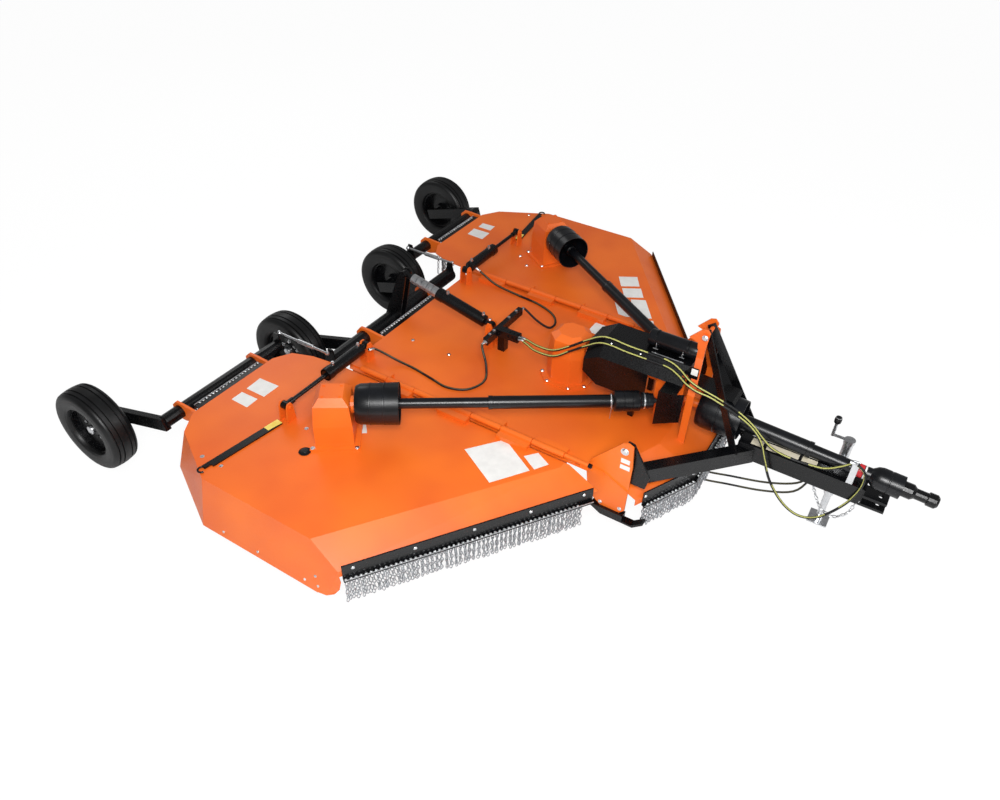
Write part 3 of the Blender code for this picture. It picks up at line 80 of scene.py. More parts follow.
FOLD = ((0.690, -0.600, 0.700), (1.560, -0.600, 0.700))
MANIFOLD_FRONT = -1.610
WHEELS = {"wing": (2.200, 0.731), "centre": (0.689, 0.230)}
TYRE_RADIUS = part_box("left_wing_tyre")[1].z / 2
TYRE_HALF = (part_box("left_wing_tyre")[1].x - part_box("left_wing_tyre")[0].x) / 2
SMOOTH = 48
SIDES = ((1, "left"), (-1, "right"))
CORNERS = ((1, 1), (1, -1), (-1, 1), (-1, -1))
FOOT_TOP = DECK_TOP + 0.0153
PLATE_SIDE = 0.8073
BEAM_TOP = 0.6302
LABEL_LIFT = 0.0002
LABEL_THICK = 0.0008


def at(x, back, z):
    """A point from its place across the machine, its place along it and its height."""
    return Vector((x, back - MIDDLE, z))


# Shapes: each returns a closed mesh in the frame's space

def mesh_of(points, faces):
    """A closed mesh, its faces turned outwards."""
    data = bpy.data.meshes.new("shape")
    data.from_pydata([tuple(p) for p in points], [], faces)
    work = bmesh.new()
    work.from_mesh(data)
    bmesh.ops.recalc_face_normals(work, faces=work.faces)
    work.to_mesh(data)
    work.free()
    return data


def loft(rings, closed=False):
    """A body through rings of equally many points: with flat ends, or closed on itself."""
    count = len(rings[0])
    points = [p for ring in rings for p in ring]
    faces = [] if closed else [tuple(range(count)), tuple(range(len(points) - count, len(points)))]
    for r in range(len(rings) if closed else len(rings) - 1):
        low, high = r * count, ((r + 1) % len(rings)) * count
        for k in range(count):
            n = (k + 1) % count
            faces.append((low + k, low + n, high + n, high + k))
    return mesh_of(points, faces)


def frame_on(direction):
    """Two unit vectors square to a direction."""
    along = Vector(direction).normalized()
    helper = Vector((0, 0, 1)) if abs(along.z) < 0.9 else Vector((1, 0, 0))
    side = along.cross(helper).normalized()
    return side, side.cross(along).normalized()


def ring_of(centre, direction, radius, sides):
    """The points of a circle square to a direction."""
    side, up = frame_on(direction)
    angles = [2 * math.pi * k / sides for k in range(sides)]
    return [centre + (side * math.cos(a) + up * math.sin(a)) * radius for a in angles]


def turned(start, direction, profile, sides=SMOOTH, closed=False):
    """A body turned on an axis, from (place along it, radius) steps."""
    along = Vector(direction).normalized()
    return loft([ring_of(start + along * s, along, r, sides) for s, r in profile], closed)


def rod(start, end, radius, sides=16):
    """A round bar."""
    return loft([ring_of(p, end - start, radius, sides) for p in (start, end)])


def beam(start, end, width, depth, up=(0, 0, 1)):
    """A square bar from start to end, width across and depth upwards."""
    along = (end - start).normalized()
    side = along.cross(Vector(up)).normalized() * width / 2
    rise = side.cross(along).normalized() * depth / 2
    corners = (side + rise, side - rise, -side - rise, -side + rise)
    return loft([[p + c for c in corners] for p in (start, end)])


def slab(corners, normal, thick):
    """A thin plate on its corners, standing out along a normal."""
    lift = Vector(normal).normalized() * thick
    return loft([list(corners), [c + lift for c in corners]])


def ball(radius, place=0.0, first=25, last=155, steps=10):
    """The (place, radius) steps of a ball's profile between two angles from the axis, in degrees."""
    angles = [math.radians(first + (last - first) * k / steps) for k in range(steps + 1)]
    return [(place - radius * math.cos(a), radius * math.sin(a)) for a in angles]


def joined(shapes):
    """Several shapes as one mesh."""
    work = bmesh.new()
    for shape in shapes:
        work.from_mesh(shape)
    data = bpy.data.meshes.new("joined")
    work.to_mesh(data)
    work.free()
    return data


def softened(data, width):
    """The shape with its sharp edges rounded off."""
    work = bmesh.new()
    work.from_mesh(data)
    sharp = [e for e in work.edges if len(e.link_faces) == 2 and e.calc_face_angle(0) > math.radians(30)]
    bmesh.ops.bevel(work, geom=sharp, offset=width, segments=2, affect="EDGES", clamp_overlap=True)
    work.to_mesh(data)
    work.free()
    return data


def mirrored(data):
    """The same shape on the machine's other side."""
    copy = data.copy()
    copy.transform(Matrix.Scale(-1, 4, Vector((1, 0, 0))))
    copy.flip_normals()
    return copy


def on_side(data, side):
    """A left-hand shape, or its twin on the right."""
    return data if side > 0 else mirrored(data)


def to_side(rows, side):
    """The left side's (place, facing, size) rows, or the same rows on the right."""
    return [(Vector((p.x * side, p.y, p.z)), Vector((w.x * side, w.y, w.z)), s) for p, w, s in rows]


def hoop(start, direction, inner, outer, width, sides=36):
    """A flat ring round an axis."""
    profile = [(0, inner), (0, outer), (width, outer), (width, inner)]
    return turned(start, direction, profile, sides, closed=True)


def oblong(x0, x1, back0, back1, z):
    """The corners of a level oblong."""
    return [at(x, back, z) for x, back in ((x0, back0), (x1, back0), (x1, back1), (x0, back1))]


def upright(x, back0, back1, z0, z1):
    """The corners of an oblong that stands along the machine."""
    return [at(x, back, z) for back, z in ((back0, z0), (back1, z0), (back1, z1), (back0, z1))]


def smooth_path(stops, steps):
    """A smooth curve through its places."""
    ends = [2 * stops[0] - stops[1], *stops, 2 * stops[-1] - stops[-2]]
    path = []
    for a, b, c, d in zip(ends, ends[1:], ends[2:], ends[3:]):
        for k in range(steps):
            t = k / steps
            path.append(0.5 * (2 * b + (c - a) * t + (2 * a - 5 * b + 4 * c - d) * t ** 2
                               + (3 * b - a - 3 * c + d) * t ** 3))
    path.append(stops[-1])
    return path


def swept(path, radius, sides=12):
    """A round tube along a path, with a UV map: round it, and along it in metres."""
    ways = [path[1] - path[0], *[c - a for a, c in zip(path, path[2:])], path[-1] - path[-2]]
    side = frame_on(ways[0])[0]
    rings, lengths = [], [0.0]
    for place, way in zip(path, ways):
        along = way.normalized()
        side = (side - along * side.dot(along)).normalized()
        up = along.cross(side)
        angles = [2 * math.pi * k / sides for k in range(sides)]
        rings.append([place + (side * math.cos(a) + up * math.sin(a)) * radius for a in angles])
        if len(rings) < len(path):
            lengths.append(lengths[-1] + (path[len(rings)] - place).length)
    data = loft(rings)
    layer = data.uv_layers.new(name="along")
    for face in data.polygons:
        places = [data.loops[i].vertex_index for i in face.loop_indices]
        turns = [v % sides for v in places]
        wraps = max(turns) - min(turns) > 1
        for i, v, turn in zip(face.loop_indices, places, turns):
            across = (turn + sides if wraps and turn == 0 else turn) / sides
            layer.data[i].uv = (across, lengths[v // sides])
    return data


def piece(name, data, finish, body, stands_for=(), angle=35.0):
    """Puts a finished shape in the scene as one piece that moves with a body."""
    data.name = name
    data.materials.clear()
    data.materials.append(FINISH[finish])
    data.polygons.foreach_set("material_index", [0] * len(data.polygons))
    data.shade_smooth()
    data.set_sharp_from_angle(angle=math.radians(angle))
    item = bpy.data.objects.new(name, data)
    bpy.context.scene.collection.objects.link(item)
    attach(item, body)
    if stands_for:
        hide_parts(*stands_for)
    return item


# Node trees

def add(tree, kind, inputs=None, **settings):
    """Adds a node with its settings. Each named input gets a value, a socket or a node's first output."""
    node = tree.nodes.new(kind)
    for key, value in settings.items():
        setattr(node, key, value)
    for key, value in (inputs or {}).items():
        if isinstance(value, bpy.types.Node):
            value = value.outputs[0]
        if isinstance(value, bpy.types.NodeSocket):
            tree.links.new(value, node.inputs[key])
        else:
            node.inputs[key].default_value = value
    return node


def new_tree(name, inputs):
    """A geometry tree with its named inputs."""
    tree = bpy.data.node_groups.new(name, "GeometryNodeTree")
    tree.interface.new_socket("Geometry", in_out="INPUT", socket_type="NodeSocketGeometry")
    for label, kind in inputs:
        tree.interface.new_socket(label, in_out="INPUT", socket_type=kind)
    tree.interface.new_socket("Geometry", in_out="OUTPUT", socket_type="NodeSocketGeometry")
    return tree, add(tree, "NodeGroupInput").outputs


def end_tree(tree, geometry, finish):
    """Makes the instances real, gives them their finish and ends the tree."""
    real = add(tree, "GeometryNodeRealizeInstances", {"Geometry": geometry})
    painted = add(tree, "GeometryNodeSetMaterial", {"Geometry": real, "Material": finish})
    add(tree, "NodeGroupOutput", {"Geometry": painted})
    return tree


def link_of(tree, length, width, wire):
    """The nodes of one oval chain link that stands on its end."""
    reach = add(tree, "ShaderNodeMath", {0: length, 1: wire}, operation="SUBTRACT")
    span = add(tree, "ShaderNodeMath", {0: width, 1: wire}, operation="SUBTRACT")
    size = add(tree, "ShaderNodeCombineXYZ", {"X": span, "Y": reach, "Z": 1.0})
    circle = add(tree, "GeometryNodeCurvePrimitiveCircle", {"Resolution": 10, "Radius": 0.5})
    oval = add(tree, "GeometryNodeTransform",
               {"Geometry": circle, "Scale": size})
    upright = add(tree, "GeometryNodeTransform",
                  {"Geometry": oval, "Rotation": (math.pi / 2, 0.0, 0.0)})
    radius = add(tree, "ShaderNodeMath", {0: wire, 1: 0.5}, operation="MULTIPLY")
    section = add(tree, "GeometryNodeCurvePrimitiveCircle", {"Resolution": 5, "Radius": radius})
    return add(tree, "GeometryNodeCurveToMesh",
               {"Curve": upright, "Profile Curve": section}).outputs[0]


def quarter_turns(tree):
    """A turn of a quarter for every second point."""
    index = add(tree, "GeometryNodeInputIndex")
    odd = add(tree, "ShaderNodeMath", {0: index, 1: 2.0}, operation="MODULO")
    turn = add(tree, "ShaderNodeMath", {0: odd, 1: math.pi / 2}, operation="MULTIPLY")
    return add(tree, "ShaderNodeCombineXYZ", {"Z": turn}).outputs[0]


def curtain_tree():
    """Strands of chain that hang side by side from a path."""
    tree, given = new_tree("chain_curtain", [
        ("Spacing", "NodeSocketFloat"), ("Links", "NodeSocketInt"), ("Link Pitch", "NodeSocketFloat"),
        ("Link Length", "NodeSocketFloat"), ("Link Width", "NodeSocketFloat"), ("Wire", "NodeSocketFloat"),
        ("Sway", "NodeSocketFloat"), ("Seed", "NodeSocketInt"), ("Finish", "NodeSocketMaterial")])
    link = link_of(tree, given["Link Length"], given["Link Width"], given["Wire"])
    down = add(tree, "ShaderNodeMath", {0: given["Link Pitch"], 1: -1.0}, operation="MULTIPLY")
    step = add(tree, "ShaderNodeCombineXYZ", {"Z": down})
    places = add(tree, "GeometryNodeMeshLine", {"Count": given["Links"], "Offset": step})
    strand = add(tree, "GeometryNodeInstanceOnPoints",
                 {"Points": places, "Instance": link, "Rotation": quarter_turns(tree)})
    path = add(tree, "GeometryNodeMeshToCurve", {"Mesh": given["Geometry"]})
    stops = add(tree, "GeometryNodeResampleCurve",
                {"Curve": path, "Length": given["Spacing"]}, mode="LENGTH")
    tangent = add(tree, "GeometryNodeInputTangent")
    faced = add(tree, "FunctionNodeAlignRotationToVector", {"Vector": tangent}, axis="X",
                pivot_axis="Z")
    back = add(tree, "ShaderNodeMath", {0: given["Sway"], 1: -1.0}, operation="MULTIPLY")
    low = add(tree, "ShaderNodeCombineXYZ", {"X": back, "Y": back, "Z": -0.5})
    high = add(tree, "ShaderNodeCombineXYZ", {"X": given["Sway"], "Y": given["Sway"], "Z": 0.5})
    sway = add(tree, "FunctionNodeRandomValue",
               {"Min": low, "Max": high, "Seed": given["Seed"]}, data_type="FLOAT_VECTOR")
    swung = add(tree, "FunctionNodeRotateRotation",
                {"Rotation": faced, "Rotate By": sway.outputs["Value"]}, rotation_space="LOCAL")
    hung = add(tree, "GeometryNodeInstanceOnPoints",
               {"Points": stops, "Instance": strand, "Rotation": swung})
    return end_tree(tree, hung.outputs[0], given["Finish"])


def chain_tree():
    """A single chain that follows a path, link by link."""
    tree, given = new_tree("single_chain", [
        ("Link Pitch", "NodeSocketFloat"), ("Link Length", "NodeSocketFloat"),
        ("Link Width", "NodeSocketFloat"), ("Wire", "NodeSocketFloat"), ("Finish", "NodeSocketMaterial")])
    link = link_of(tree, given["Link Length"], given["Link Width"], given["Wire"])
    path = add(tree, "GeometryNodeMeshToCurve", {"Mesh": given["Geometry"]})
    stops = add(tree, "GeometryNodeResampleCurve",
                {"Curve": path, "Length": given["Link Pitch"]}, mode="LENGTH")
    tangent = add(tree, "GeometryNodeInputTangent")
    faced = add(tree, "FunctionNodeAlignRotationToVector", {"Vector": tangent}, axis="Z")
    turned_link = add(tree, "FunctionNodeRotateRotation",
                      {"Rotation": faced, "Rotate By": quarter_turns(tree)}, rotation_space="LOCAL")
    hung = add(tree, "GeometryNodeInstanceOnPoints",
               {"Points": stops, "Instance": link, "Rotation": turned_link})
    return end_tree(tree, hung.outputs[0], given["Finish"])


def bolt_tree():
    """A bolt head on its washer at each point: hexagonal, or round where it is a coach bolt's."""
    tree, given = new_tree("bolt_heads", [
        ("Round Heads", "NodeSocketBool"), ("Head Height", "NodeSocketFloat"),
        ("Washer Reach", "NodeSocketFloat"), ("Finish", "NodeSocketMaterial")])
    hexagon = add(tree, "GeometryNodeMeshCylinder",
                  {"Vertices": 6, "Radius": 1.0, "Depth": given["Head Height"]})
    half = add(tree, "ShaderNodeMath", {0: given["Head Height"], 1: 0.5}, operation="MULTIPLY")
    rise = add(tree, "ShaderNodeCombineXYZ", {"Z": half})
    head = add(tree, "GeometryNodeTransform", {"Geometry": hexagon, "Translation": rise})
    washer = add(tree, "GeometryNodeMeshCylinder",
                 {"Vertices": 14, "Radius": given["Washer Reach"], "Depth": 0.3})
    both = add(tree, "GeometryNodeJoinGeometry")
    tree.links.new(head.outputs[0], both.inputs[0])
    tree.links.new(washer.outputs[0], both.inputs[0])
    globe = add(tree, "GeometryNodeMeshUVSphere", {"Segments": 12, "Rings": 6, "Radius": 1.0})
    flat = add(tree, "ShaderNodeCombineXYZ", {"X": 1.0, "Y": 1.0, "Z": given["Head Height"]})
    dome = add(tree, "GeometryNodeTransform", {"Geometry": globe, "Scale": flat})
    choice = add(tree, "GeometryNodeSwitch",
                 {"Switch": given["Round Heads"], "False": both, "True": dome},
                 input_type="GEOMETRY")
    facing = add(tree, "GeometryNodeInputNamedAttribute", {"Name": "facing"}, data_type="FLOAT_VECTOR")
    size = add(tree, "GeometryNodeInputNamedAttribute", {"Name": "size"}, data_type="FLOAT")
    aimed = add(tree, "FunctionNodeAlignRotationToVector", {"Vector": facing}, axis="Z")
    hung = add(tree, "GeometryNodeInstanceOnPoints",
               {"Points": given["Geometry"], "Instance": choice, "Rotation": aimed,
                "Scale": size})
    return end_tree(tree, hung.outputs[0], given["Finish"])


def grown(tree, data, inputs):
    """What a geometry tree makes of a mesh, as a plain mesh."""
    holder = bpy.data.objects.new("grown", data)
    bpy.context.scene.collection.objects.link(holder)
    step = holder.modifiers.new("grow", "NODES")
    step.node_group = tree
    sockets = {s.name: s.identifier for s in tree.interface.items_tree if s.in_out == "INPUT"}
    for label, value in inputs.items():
        step[sockets[label]] = value
    bpy.context.view_layer.update()
    result = bpy.data.meshes.new_from_object(holder.evaluated_get(bpy.context.evaluated_depsgraph_get()))
    holder.modifiers.remove(step)
    bpy.data.objects.remove(holder, do_unlink=True)
    if not result.polygons:
        raise RuntimeError(f"{tree.name} made nothing")
    return result


def path_mesh(paths):
    """Open paths as edges, for a tree to follow."""
    data = bpy.data.meshes.new("path")
    points, edges = [], []
    for path in paths:
        first = len(points)
        points += [tuple(p) for p in path]
        edges += [(first + k, first + k + 1) for k in range(len(path) - 1)]
    data.from_pydata(points, edges, [])
    return data


def bolts(name, rows, body, finish, tree, round_heads=False, height=0.7, washer=1.5):
    """Bolt heads on one body, from (place, facing, size) rows."""
    data = bpy.data.meshes.new("bolt_places")
    data.from_pydata([tuple(place) for place, _, _ in rows], [], [])
    facing = data.attributes.new("facing", "FLOAT_VECTOR", "POINT")
    facing.data.foreach_set("vector", [c for _, way, _ in rows for c in Vector(way).normalized()])
    size = data.attributes.new("size", "FLOAT", "POINT")
    size.data.foreach_set("value", [float(s) for _, _, s in rows])
    made = grown(tree, data, {"Round Heads": round_heads, "Head Height": height, "Washer Reach": washer,
                              "Finish": FINISH[finish]})
    return piece(name, made, finish, body)


# Finishes

def linear(code):
    """A written sRGB colour as the linear one that a shader takes."""
    values = [int(code[k:k + 2], 16) / 255 for k in (1, 3, 5)]
    return (*[v / 12.92 if v <= 0.04045 else ((v + 0.055) / 1.055) ** 2.4 for v in values], 1.0)


def new_finish(name, **values):
    """A material with its shader, ready for its patterns."""
    finish = bpy.data.materials.new(name)
    finish.use_nodes = True
    tree = finish.node_tree
    tree.nodes.clear()
    shader = add(tree, "ShaderNodeBsdfPrincipled", {k.replace("_", " "): v for k, v in values.items()})
    add(tree, "ShaderNodeOutputMaterial", {"Surface": shader})
    return finish, tree, shader


def speckle(tree, size_mm, detail=3.0):
    """Noise whose grains are about size_mm across, on the object's own coordinates."""
    place = add(tree, "ShaderNodeTexCoord").outputs["Object"]
    noise = add(tree, "ShaderNodeTexNoise", {"Vector": place, "Scale": 1000 / size_mm, "Detail": detail})
    return noise.outputs[0]


def blended(tree, factor, low, high, dark, light):
    """Two colours mixed between two levels of a pattern."""
    span = add(tree, "ShaderNodeMapRange", {0: factor, 1: low, 2: high})
    mix = add(tree, "ShaderNodeMix", {0: span, 6: linear(dark), 7: linear(light)}, data_type="RGBA")
    return mix.outputs[2]


def spread(tree, factor, low, high):
    """A pattern turned into a range of values."""
    return add(tree, "ShaderNodeMapRange", {0: factor, 1: 0.3, 2: 0.7, 3: low, 4: high}).outputs[0]


def bumped(tree, shader, height, strength, depth_mm):
    """Raises a pattern by depth_mm."""
    node = add(tree, "ShaderNodeBump", {"Height": height, "Strength": strength, "Distance": depth_mm / 1000})
    tree.links.new(node.outputs[0], shader.inputs["Normal"])


def hex_of(colour):
    """A picked colour, kept in sRGB, as its written form."""
    return "#" + "".join(f"{round(max(0.0, min(1.0, c)) * 255):02X}" for c in colour[:3])


def orange_enamel(colour):
    """Sprayed and baked enamel on sheet steel: an even warm orange, a clear gloss and a faint orange peel."""
    finish, tree, shader = new_finish("orange_enamel", Roughness=0.42, IOR=1.5, Coat_Weight=0.1,
                                      Coat_Roughness=0.2)
    # Broad drifts of tone half a metre across, as thicker and thinner paint give
    drift = speckle(tree, 520, 2.0)
    tree.links.new(blended(tree, drift, 0.35, 0.68, "#E2621A", hex_of(colour)), shader.inputs["Base Color"])
    # Orange peel of about 3 mm, drawn 14 mm wide so that it shows in the gloss
    peel = speckle(tree, 14, 2.0)
    tree.links.new(spread(tree, peel, 0.36, 0.48), shader.inputs["Roughness"])
    bumped(tree, shader, peel, 0.08, 0.6)
    return finish


def black_enamel():
    """Black chassis enamel over thick steel: deep, slightly blue, with soft highlights."""
    finish, tree, shader = new_finish("black_enamel", Roughness=0.28, IOR=1.45)
    # Film thickness changes over a hand's breadth
    drift = speckle(tree, 180)
    tree.links.new(blended(tree, drift, 0.35, 0.7, "#050506", "#0B0C0F"), shader.inputs["Base Color"])
    # Runs and mill scale under the paint, about 9 mm wide
    scale = speckle(tree, 9)
    tree.links.new(spread(tree, scale, 0.22, 0.36), shader.inputs["Roughness"])
    bumped(tree, shader, scale, 0.12, 0.8)
    return finish


def black_polyethylene():
    """Rotation- and blow-moulded guard plastic: a soft satin sheen with a fine grain."""
    finish, tree, shader = new_finish("black_polyethylene", Roughness=0.32, IOR=1.48)
    drift = speckle(tree, 120)
    tree.links.new(blended(tree, drift, 0.35, 0.7, "#07080B", "#0F1116"), shader.inputs["Base Color"])
    # Mould grain of 1.5 mm, drawn 5 mm wide
    grain = speckle(tree, 5)
    tree.links.new(spread(tree, grain, 0.26, 0.38), shader.inputs["Roughness"])
    bumped(tree, shader, grain, 0.15, 0.5)
    return finish


def tyre_rubber():
    """Moulded implement tyre: near black, with a slight bloom and soft ribs of light."""
    finish, tree, shader = new_finish("tyre_rubber", Roughness=0.42, IOR=1.48)
    bloom = speckle(tree, 90)
    tree.links.new(blended(tree, bloom, 0.35, 0.72, "#060607", "#0E0F11"), shader.inputs["Base Color"])
    # Mould texture of 2 mm, drawn 7 mm wide
    grain = speckle(tree, 7)
    tree.links.new(spread(tree, grain, 0.34, 0.5), shader.inputs["Roughness"])
    bumped(tree, shader, grain, 0.2, 0.6)
    return finish


def metal(name, dark, light, size_mm, smooth, rough, depth_mm):
    """A bare or plated metal with its grain: two tones, and a roughness that follows them."""
    finish, tree, shader = new_finish(name, Metallic=1.0, Roughness=rough)
    grain = speckle(tree, size_mm)
    tree.links.new(blended(tree, grain, 0.35, 0.65, dark, light), shader.inputs["Base Color"])
    tree.links.new(spread(tree, grain, smooth, rough), shader.inputs["Roughness"])
    bumped(tree, shader, grain, 0.2, depth_mm)
    return finish


LINE_TURN = 0.64
RUN_PITCH = 0.62
RUN_LENGTH = 0.50


def hose_rubber(name, stripe, half_width):
    """Wrapped hydraulic hose: matt black rubber with a printed line that breaks off and starts again."""
    finish, tree, shader = new_finish(name, Roughness=0.5, IOR=1.5)
    place = add(tree, "ShaderNodeUVMap", uv_map="along").outputs[0]
    parts = add(tree, "ShaderNodeSeparateXYZ", {0: place})
    # The line takes about a sixth of the way round the hose, on its upper outer side
    round_it = add(tree, "ShaderNodeMath", {0: parts, 1: LINE_TURN}, operation="ADD")
    turned_to = add(tree, "ShaderNodeMath", {0: round_it, 1: 1.0}, operation="MODULO")
    off = add(tree, "ShaderNodeMath", {0: turned_to, 1: 0.5}, operation="SUBTRACT")
    away = add(tree, "ShaderNodeMath", {0: off}, operation="ABSOLUTE")
    narrow = add(tree, "ShaderNodeMath", {0: away, 1: half_width}, operation="LESS_THAN")
    # It is printed in runs of about half a metre with short gaps
    runs = add(tree, "ShaderNodeMath", {0: parts.outputs[1], 1: RUN_PITCH}, operation="MODULO")
    printed = add(tree, "ShaderNodeMath", {0: runs, 1: RUN_LENGTH}, operation="LESS_THAN")
    line = add(tree, "ShaderNodeMath", {0: narrow, 1: printed}, operation="MULTIPLY")
    worn = add(tree, "ShaderNodeMath", {0: line, 1: spread(tree, speckle(tree, 6), 0.55, 1.0)},
               operation="MULTIPLY")
    mix = add(tree, "ShaderNodeMix", {0: worn, 6: linear("#0B0C0E"), 7: linear(stripe)},
              data_type="RGBA")
    tree.links.new(mix.outputs[2], shader.inputs["Base Color"])
    # The wrap leaves a fabric print of 2 mm, drawn 4 mm wide
    bumped(tree, shader, speckle(tree, 4), 0.25, 0.4)
    return finish


def vinyl(name, code, shade):
    """Printed vinyl sheet left blank: clean, faintly uneven and half glossy."""
    finish, tree, shader = new_finish(name, Roughness=0.38, IOR=1.5)
    tree.links.new(blended(tree, speckle(tree, 60), 0.3, 0.7, shade, code), shader.inputs["Base Color"])
    bumped(tree, shader, speckle(tree, 25), 0.1, 0.3)
    return finish


def acrylic(name, dark, light):
    """A moulded reflector lens: clear gloss over small prisms of about 4 mm."""
    finish, tree, shader = new_finish(name, Roughness=0.18, IOR=1.49, Coat_Weight=0.6, Coat_Roughness=0.06)
    place = add(tree, "ShaderNodeTexCoord").outputs["Object"]
    cells = add(tree, "ShaderNodeTexVoronoi", {"Vector": place, "Scale": 250.0}).outputs["Distance"]
    tree.links.new(blended(tree, cells, 0.1, 0.6, light, dark), shader.inputs["Base Color"])
    bumped(tree, shader, cells, 0.3, 0.8)
    return finish


FINISH = {}


def make_finishes(colours):
    """Every finish, under the name that the frame or a piece calls it by."""
    FINISH["orange_enamel"] = orange_enamel(colours.enamel)
    FINISH["black_enamel"] = black_enamel()
    FINISH["black_polyethylene"] = black_polyethylene()
    FINISH["tyre_rubber"] = tyre_rubber()
    FINISH["hose_rubber"] = hose_rubber("striped_hose", hex_of(colours.stripe), 0.085)
    FINISH["fold_hose"] = hose_rubber("faded_hose", "#57543A", 0.07)
    # Hot-rolled blades and pans: brown-grey, dull and slightly scaled
    FINISH["bare_steel"] = metal("hot_rolled_steel", "#6E6760", "#8C8781", 30, 0.38, 0.55, 0.6)
    # Zinc-plated hardware: bright and cool, with a fine spangle
    FINISH["zinc_plate"] = metal("zinc_plate", "#DADCDF", "#E9EAEC", 25, 0.26, 0.36, 0.2)
    # Galvanised chain: pale grey, duller than the plate
    FINISH["galvanised_chain"] = metal("galvanised_chain", "#9A9EA3", "#CDD0D4", 10, 0.28, 0.42, 0.3)
    # The runners' bare steel with its grain; the faint violet in its grey is a painted reflection of the pale
    # floor, seen at a grazing angle
    FINISH["painted_reflection_steel"] = metal("painted_reflection_steel", "#8E8898", "#A8A3AF", 45, 0.35, 0.5, 0.3)
    FINISH["blank_label"] = vinyl("blank_white_label", "#E9E8E5", "#DEDDDA")
    FINISH["cream_label"] = vinyl("blank_cream_label", "#EFE6CF", "#E3D8BC")
    FINISH["red_label"] = vinyl("red_band_label", "#C4262C", "#B42028")
    FINISH["yellow_label"] = vinyl("yellow_tab", "#F6E27A", "#E8C94A")
    FINISH["amber_lens"] = acrylic("amber_acrylic", "#C85A0E", "#F08C28")


# Settings

class PaintSettings(bpy.types.PropertyGroup):
    enamel: FloatVectorProperty(name="Enamel", description="Orange of the decks, in sRGB",
                                subtype="COLOR_GAMMA", size=3, min=0.0, max=1.0,
                                default=(0.937, 0.439, 0.106))
    stripe: FloatVectorProperty(name="Hose line", description="Printed line on the hoses, in sRGB",
                                subtype="COLOR_GAMMA", size=3, min=0.0, max=1.0, default=(0.77, 0.77, 0.42))


class ChainSettings(bpy.types.PropertyGroup):
    spacing: FloatProperty(name="Spacing", description="Distance between strands", default=0.0315,
                           unit="LENGTH")
    link_pitch: FloatProperty(name="Link pitch", description="Height that each link adds", default=0.036,
                              unit="LENGTH")
    link_length: FloatProperty(name="Link length", description="Outer length of a link", default=0.045,
                               unit="LENGTH")
    link_width: FloatProperty(name="Link width", description="Outer width of a link", default=0.026,
                              unit="LENGTH")
    wire: FloatProperty(name="Wire", description="Thickness of a link's wire", default=0.0066, unit="LENGTH")
    sway: FloatProperty(name="Sway", description="How far a strand may hang off the plumb", default=0.05,
                        subtype="ANGLE")
    seed: IntProperty(name="Seed", description="Which strands hang which way", default=4)


class TyreSettings(bpy.types.PropertyGroup):
    radius: FloatProperty(name="Radius", description="Tread radius", default=TYRE_RADIUS, unit="LENGTH")
    half_width: FloatProperty(name="Half width", description="Half the tyre's width", default=TYRE_HALF,
                              unit="LENGTH")
    bead: FloatProperty(name="Bead radius", description="Radius where the tyre meets the rim", default=0.190,
                        unit="LENGTH")
    groove: FloatProperty(name="Groove depth", description="Depth of the tread's grooves", default=0.008,
                          unit="LENGTH")


class HoseSettings(bpy.types.PropertyGroup):
    radius: FloatProperty(name="Radius", description="Outer radius of a hose", default=0.009, unit="LENGTH")
    steps: IntProperty(name="Steps", description="Rings between two places of a route", default=5, min=2)


class StageSettings(bpy.types.PropertyGroup):
    key: FloatProperty(name="Key lamp", description="Power of the large lamp over the near side",
                       default=430.0, unit="POWER")
    fill: FloatProperty(name="World", description="Strength of the even light from all round", default=0.45)


# Pieces

def left_drive_line():
    """The left drive shaft: its joint on the splitter, its direction and its whole length."""
    start = at(*SPLITTER_JOINT)
    gearbox = at(*WING_GEARBOX)
    away = (gearbox - start).normalized()
    end = gearbox - away * (BOSS_REACH + 0.150)
    return start, away, (end - start).length


def on_edge(first, last, x):
    """The place at x on a straight edge."""
    share = (x - first[0]) / (last[0] - first[0])
    return x, first[1] + (last[1] - first[1]) * share


NOSE = (0.350, -3.180)
NOSE_OUTER = on_edge(NOSE, (0.818, -2.950), 0.765)
FRONT_TOP = EDGE_Z + 0.002
# Each guard's places, the top of its deck's edge, the rise of its face above that, how far its chains stay
# short of its last end, and its body
GUARDS = {
    "left_front": ([on_edge(*WING_EDGE, x) for x in (2.312, 0.905)], FRONT_TOP, GUARD_RISE, 0.097,
                   "left_wing"),
    "left_rear": ([(1.190, 0.004), (1.820, 0.004)], DECK_TOP - 0.004, 0.0, CHAIN_INSET, "left_wing"),
    "centre_front": ([NOSE_OUTER, NOSE, (-NOSE[0], NOSE[1]), (-NOSE_OUTER[0], NOSE_OUTER[1])],
                     FRONT_TOP, GUARD_RISE, CHAIN_INSET, "centre"),
    "centre_rear": ([(-0.370, -0.530), (0.370, -0.530)], DECK_TOP - 0.001, 0.0, CHAIN_INSET, "centre"),
}


def guard_runs(stops, z):
    """Each run of a guard: its two ends, its direction and the way out."""
    places = [at(*p, z) for p in stops]
    rows = []
    for start, end in zip(places, places[1:]):
        run = (end - start).normalized()
        out = Vector((-run.y, run.x, 0))
        rows.append((start, end, run, out))
    return rows


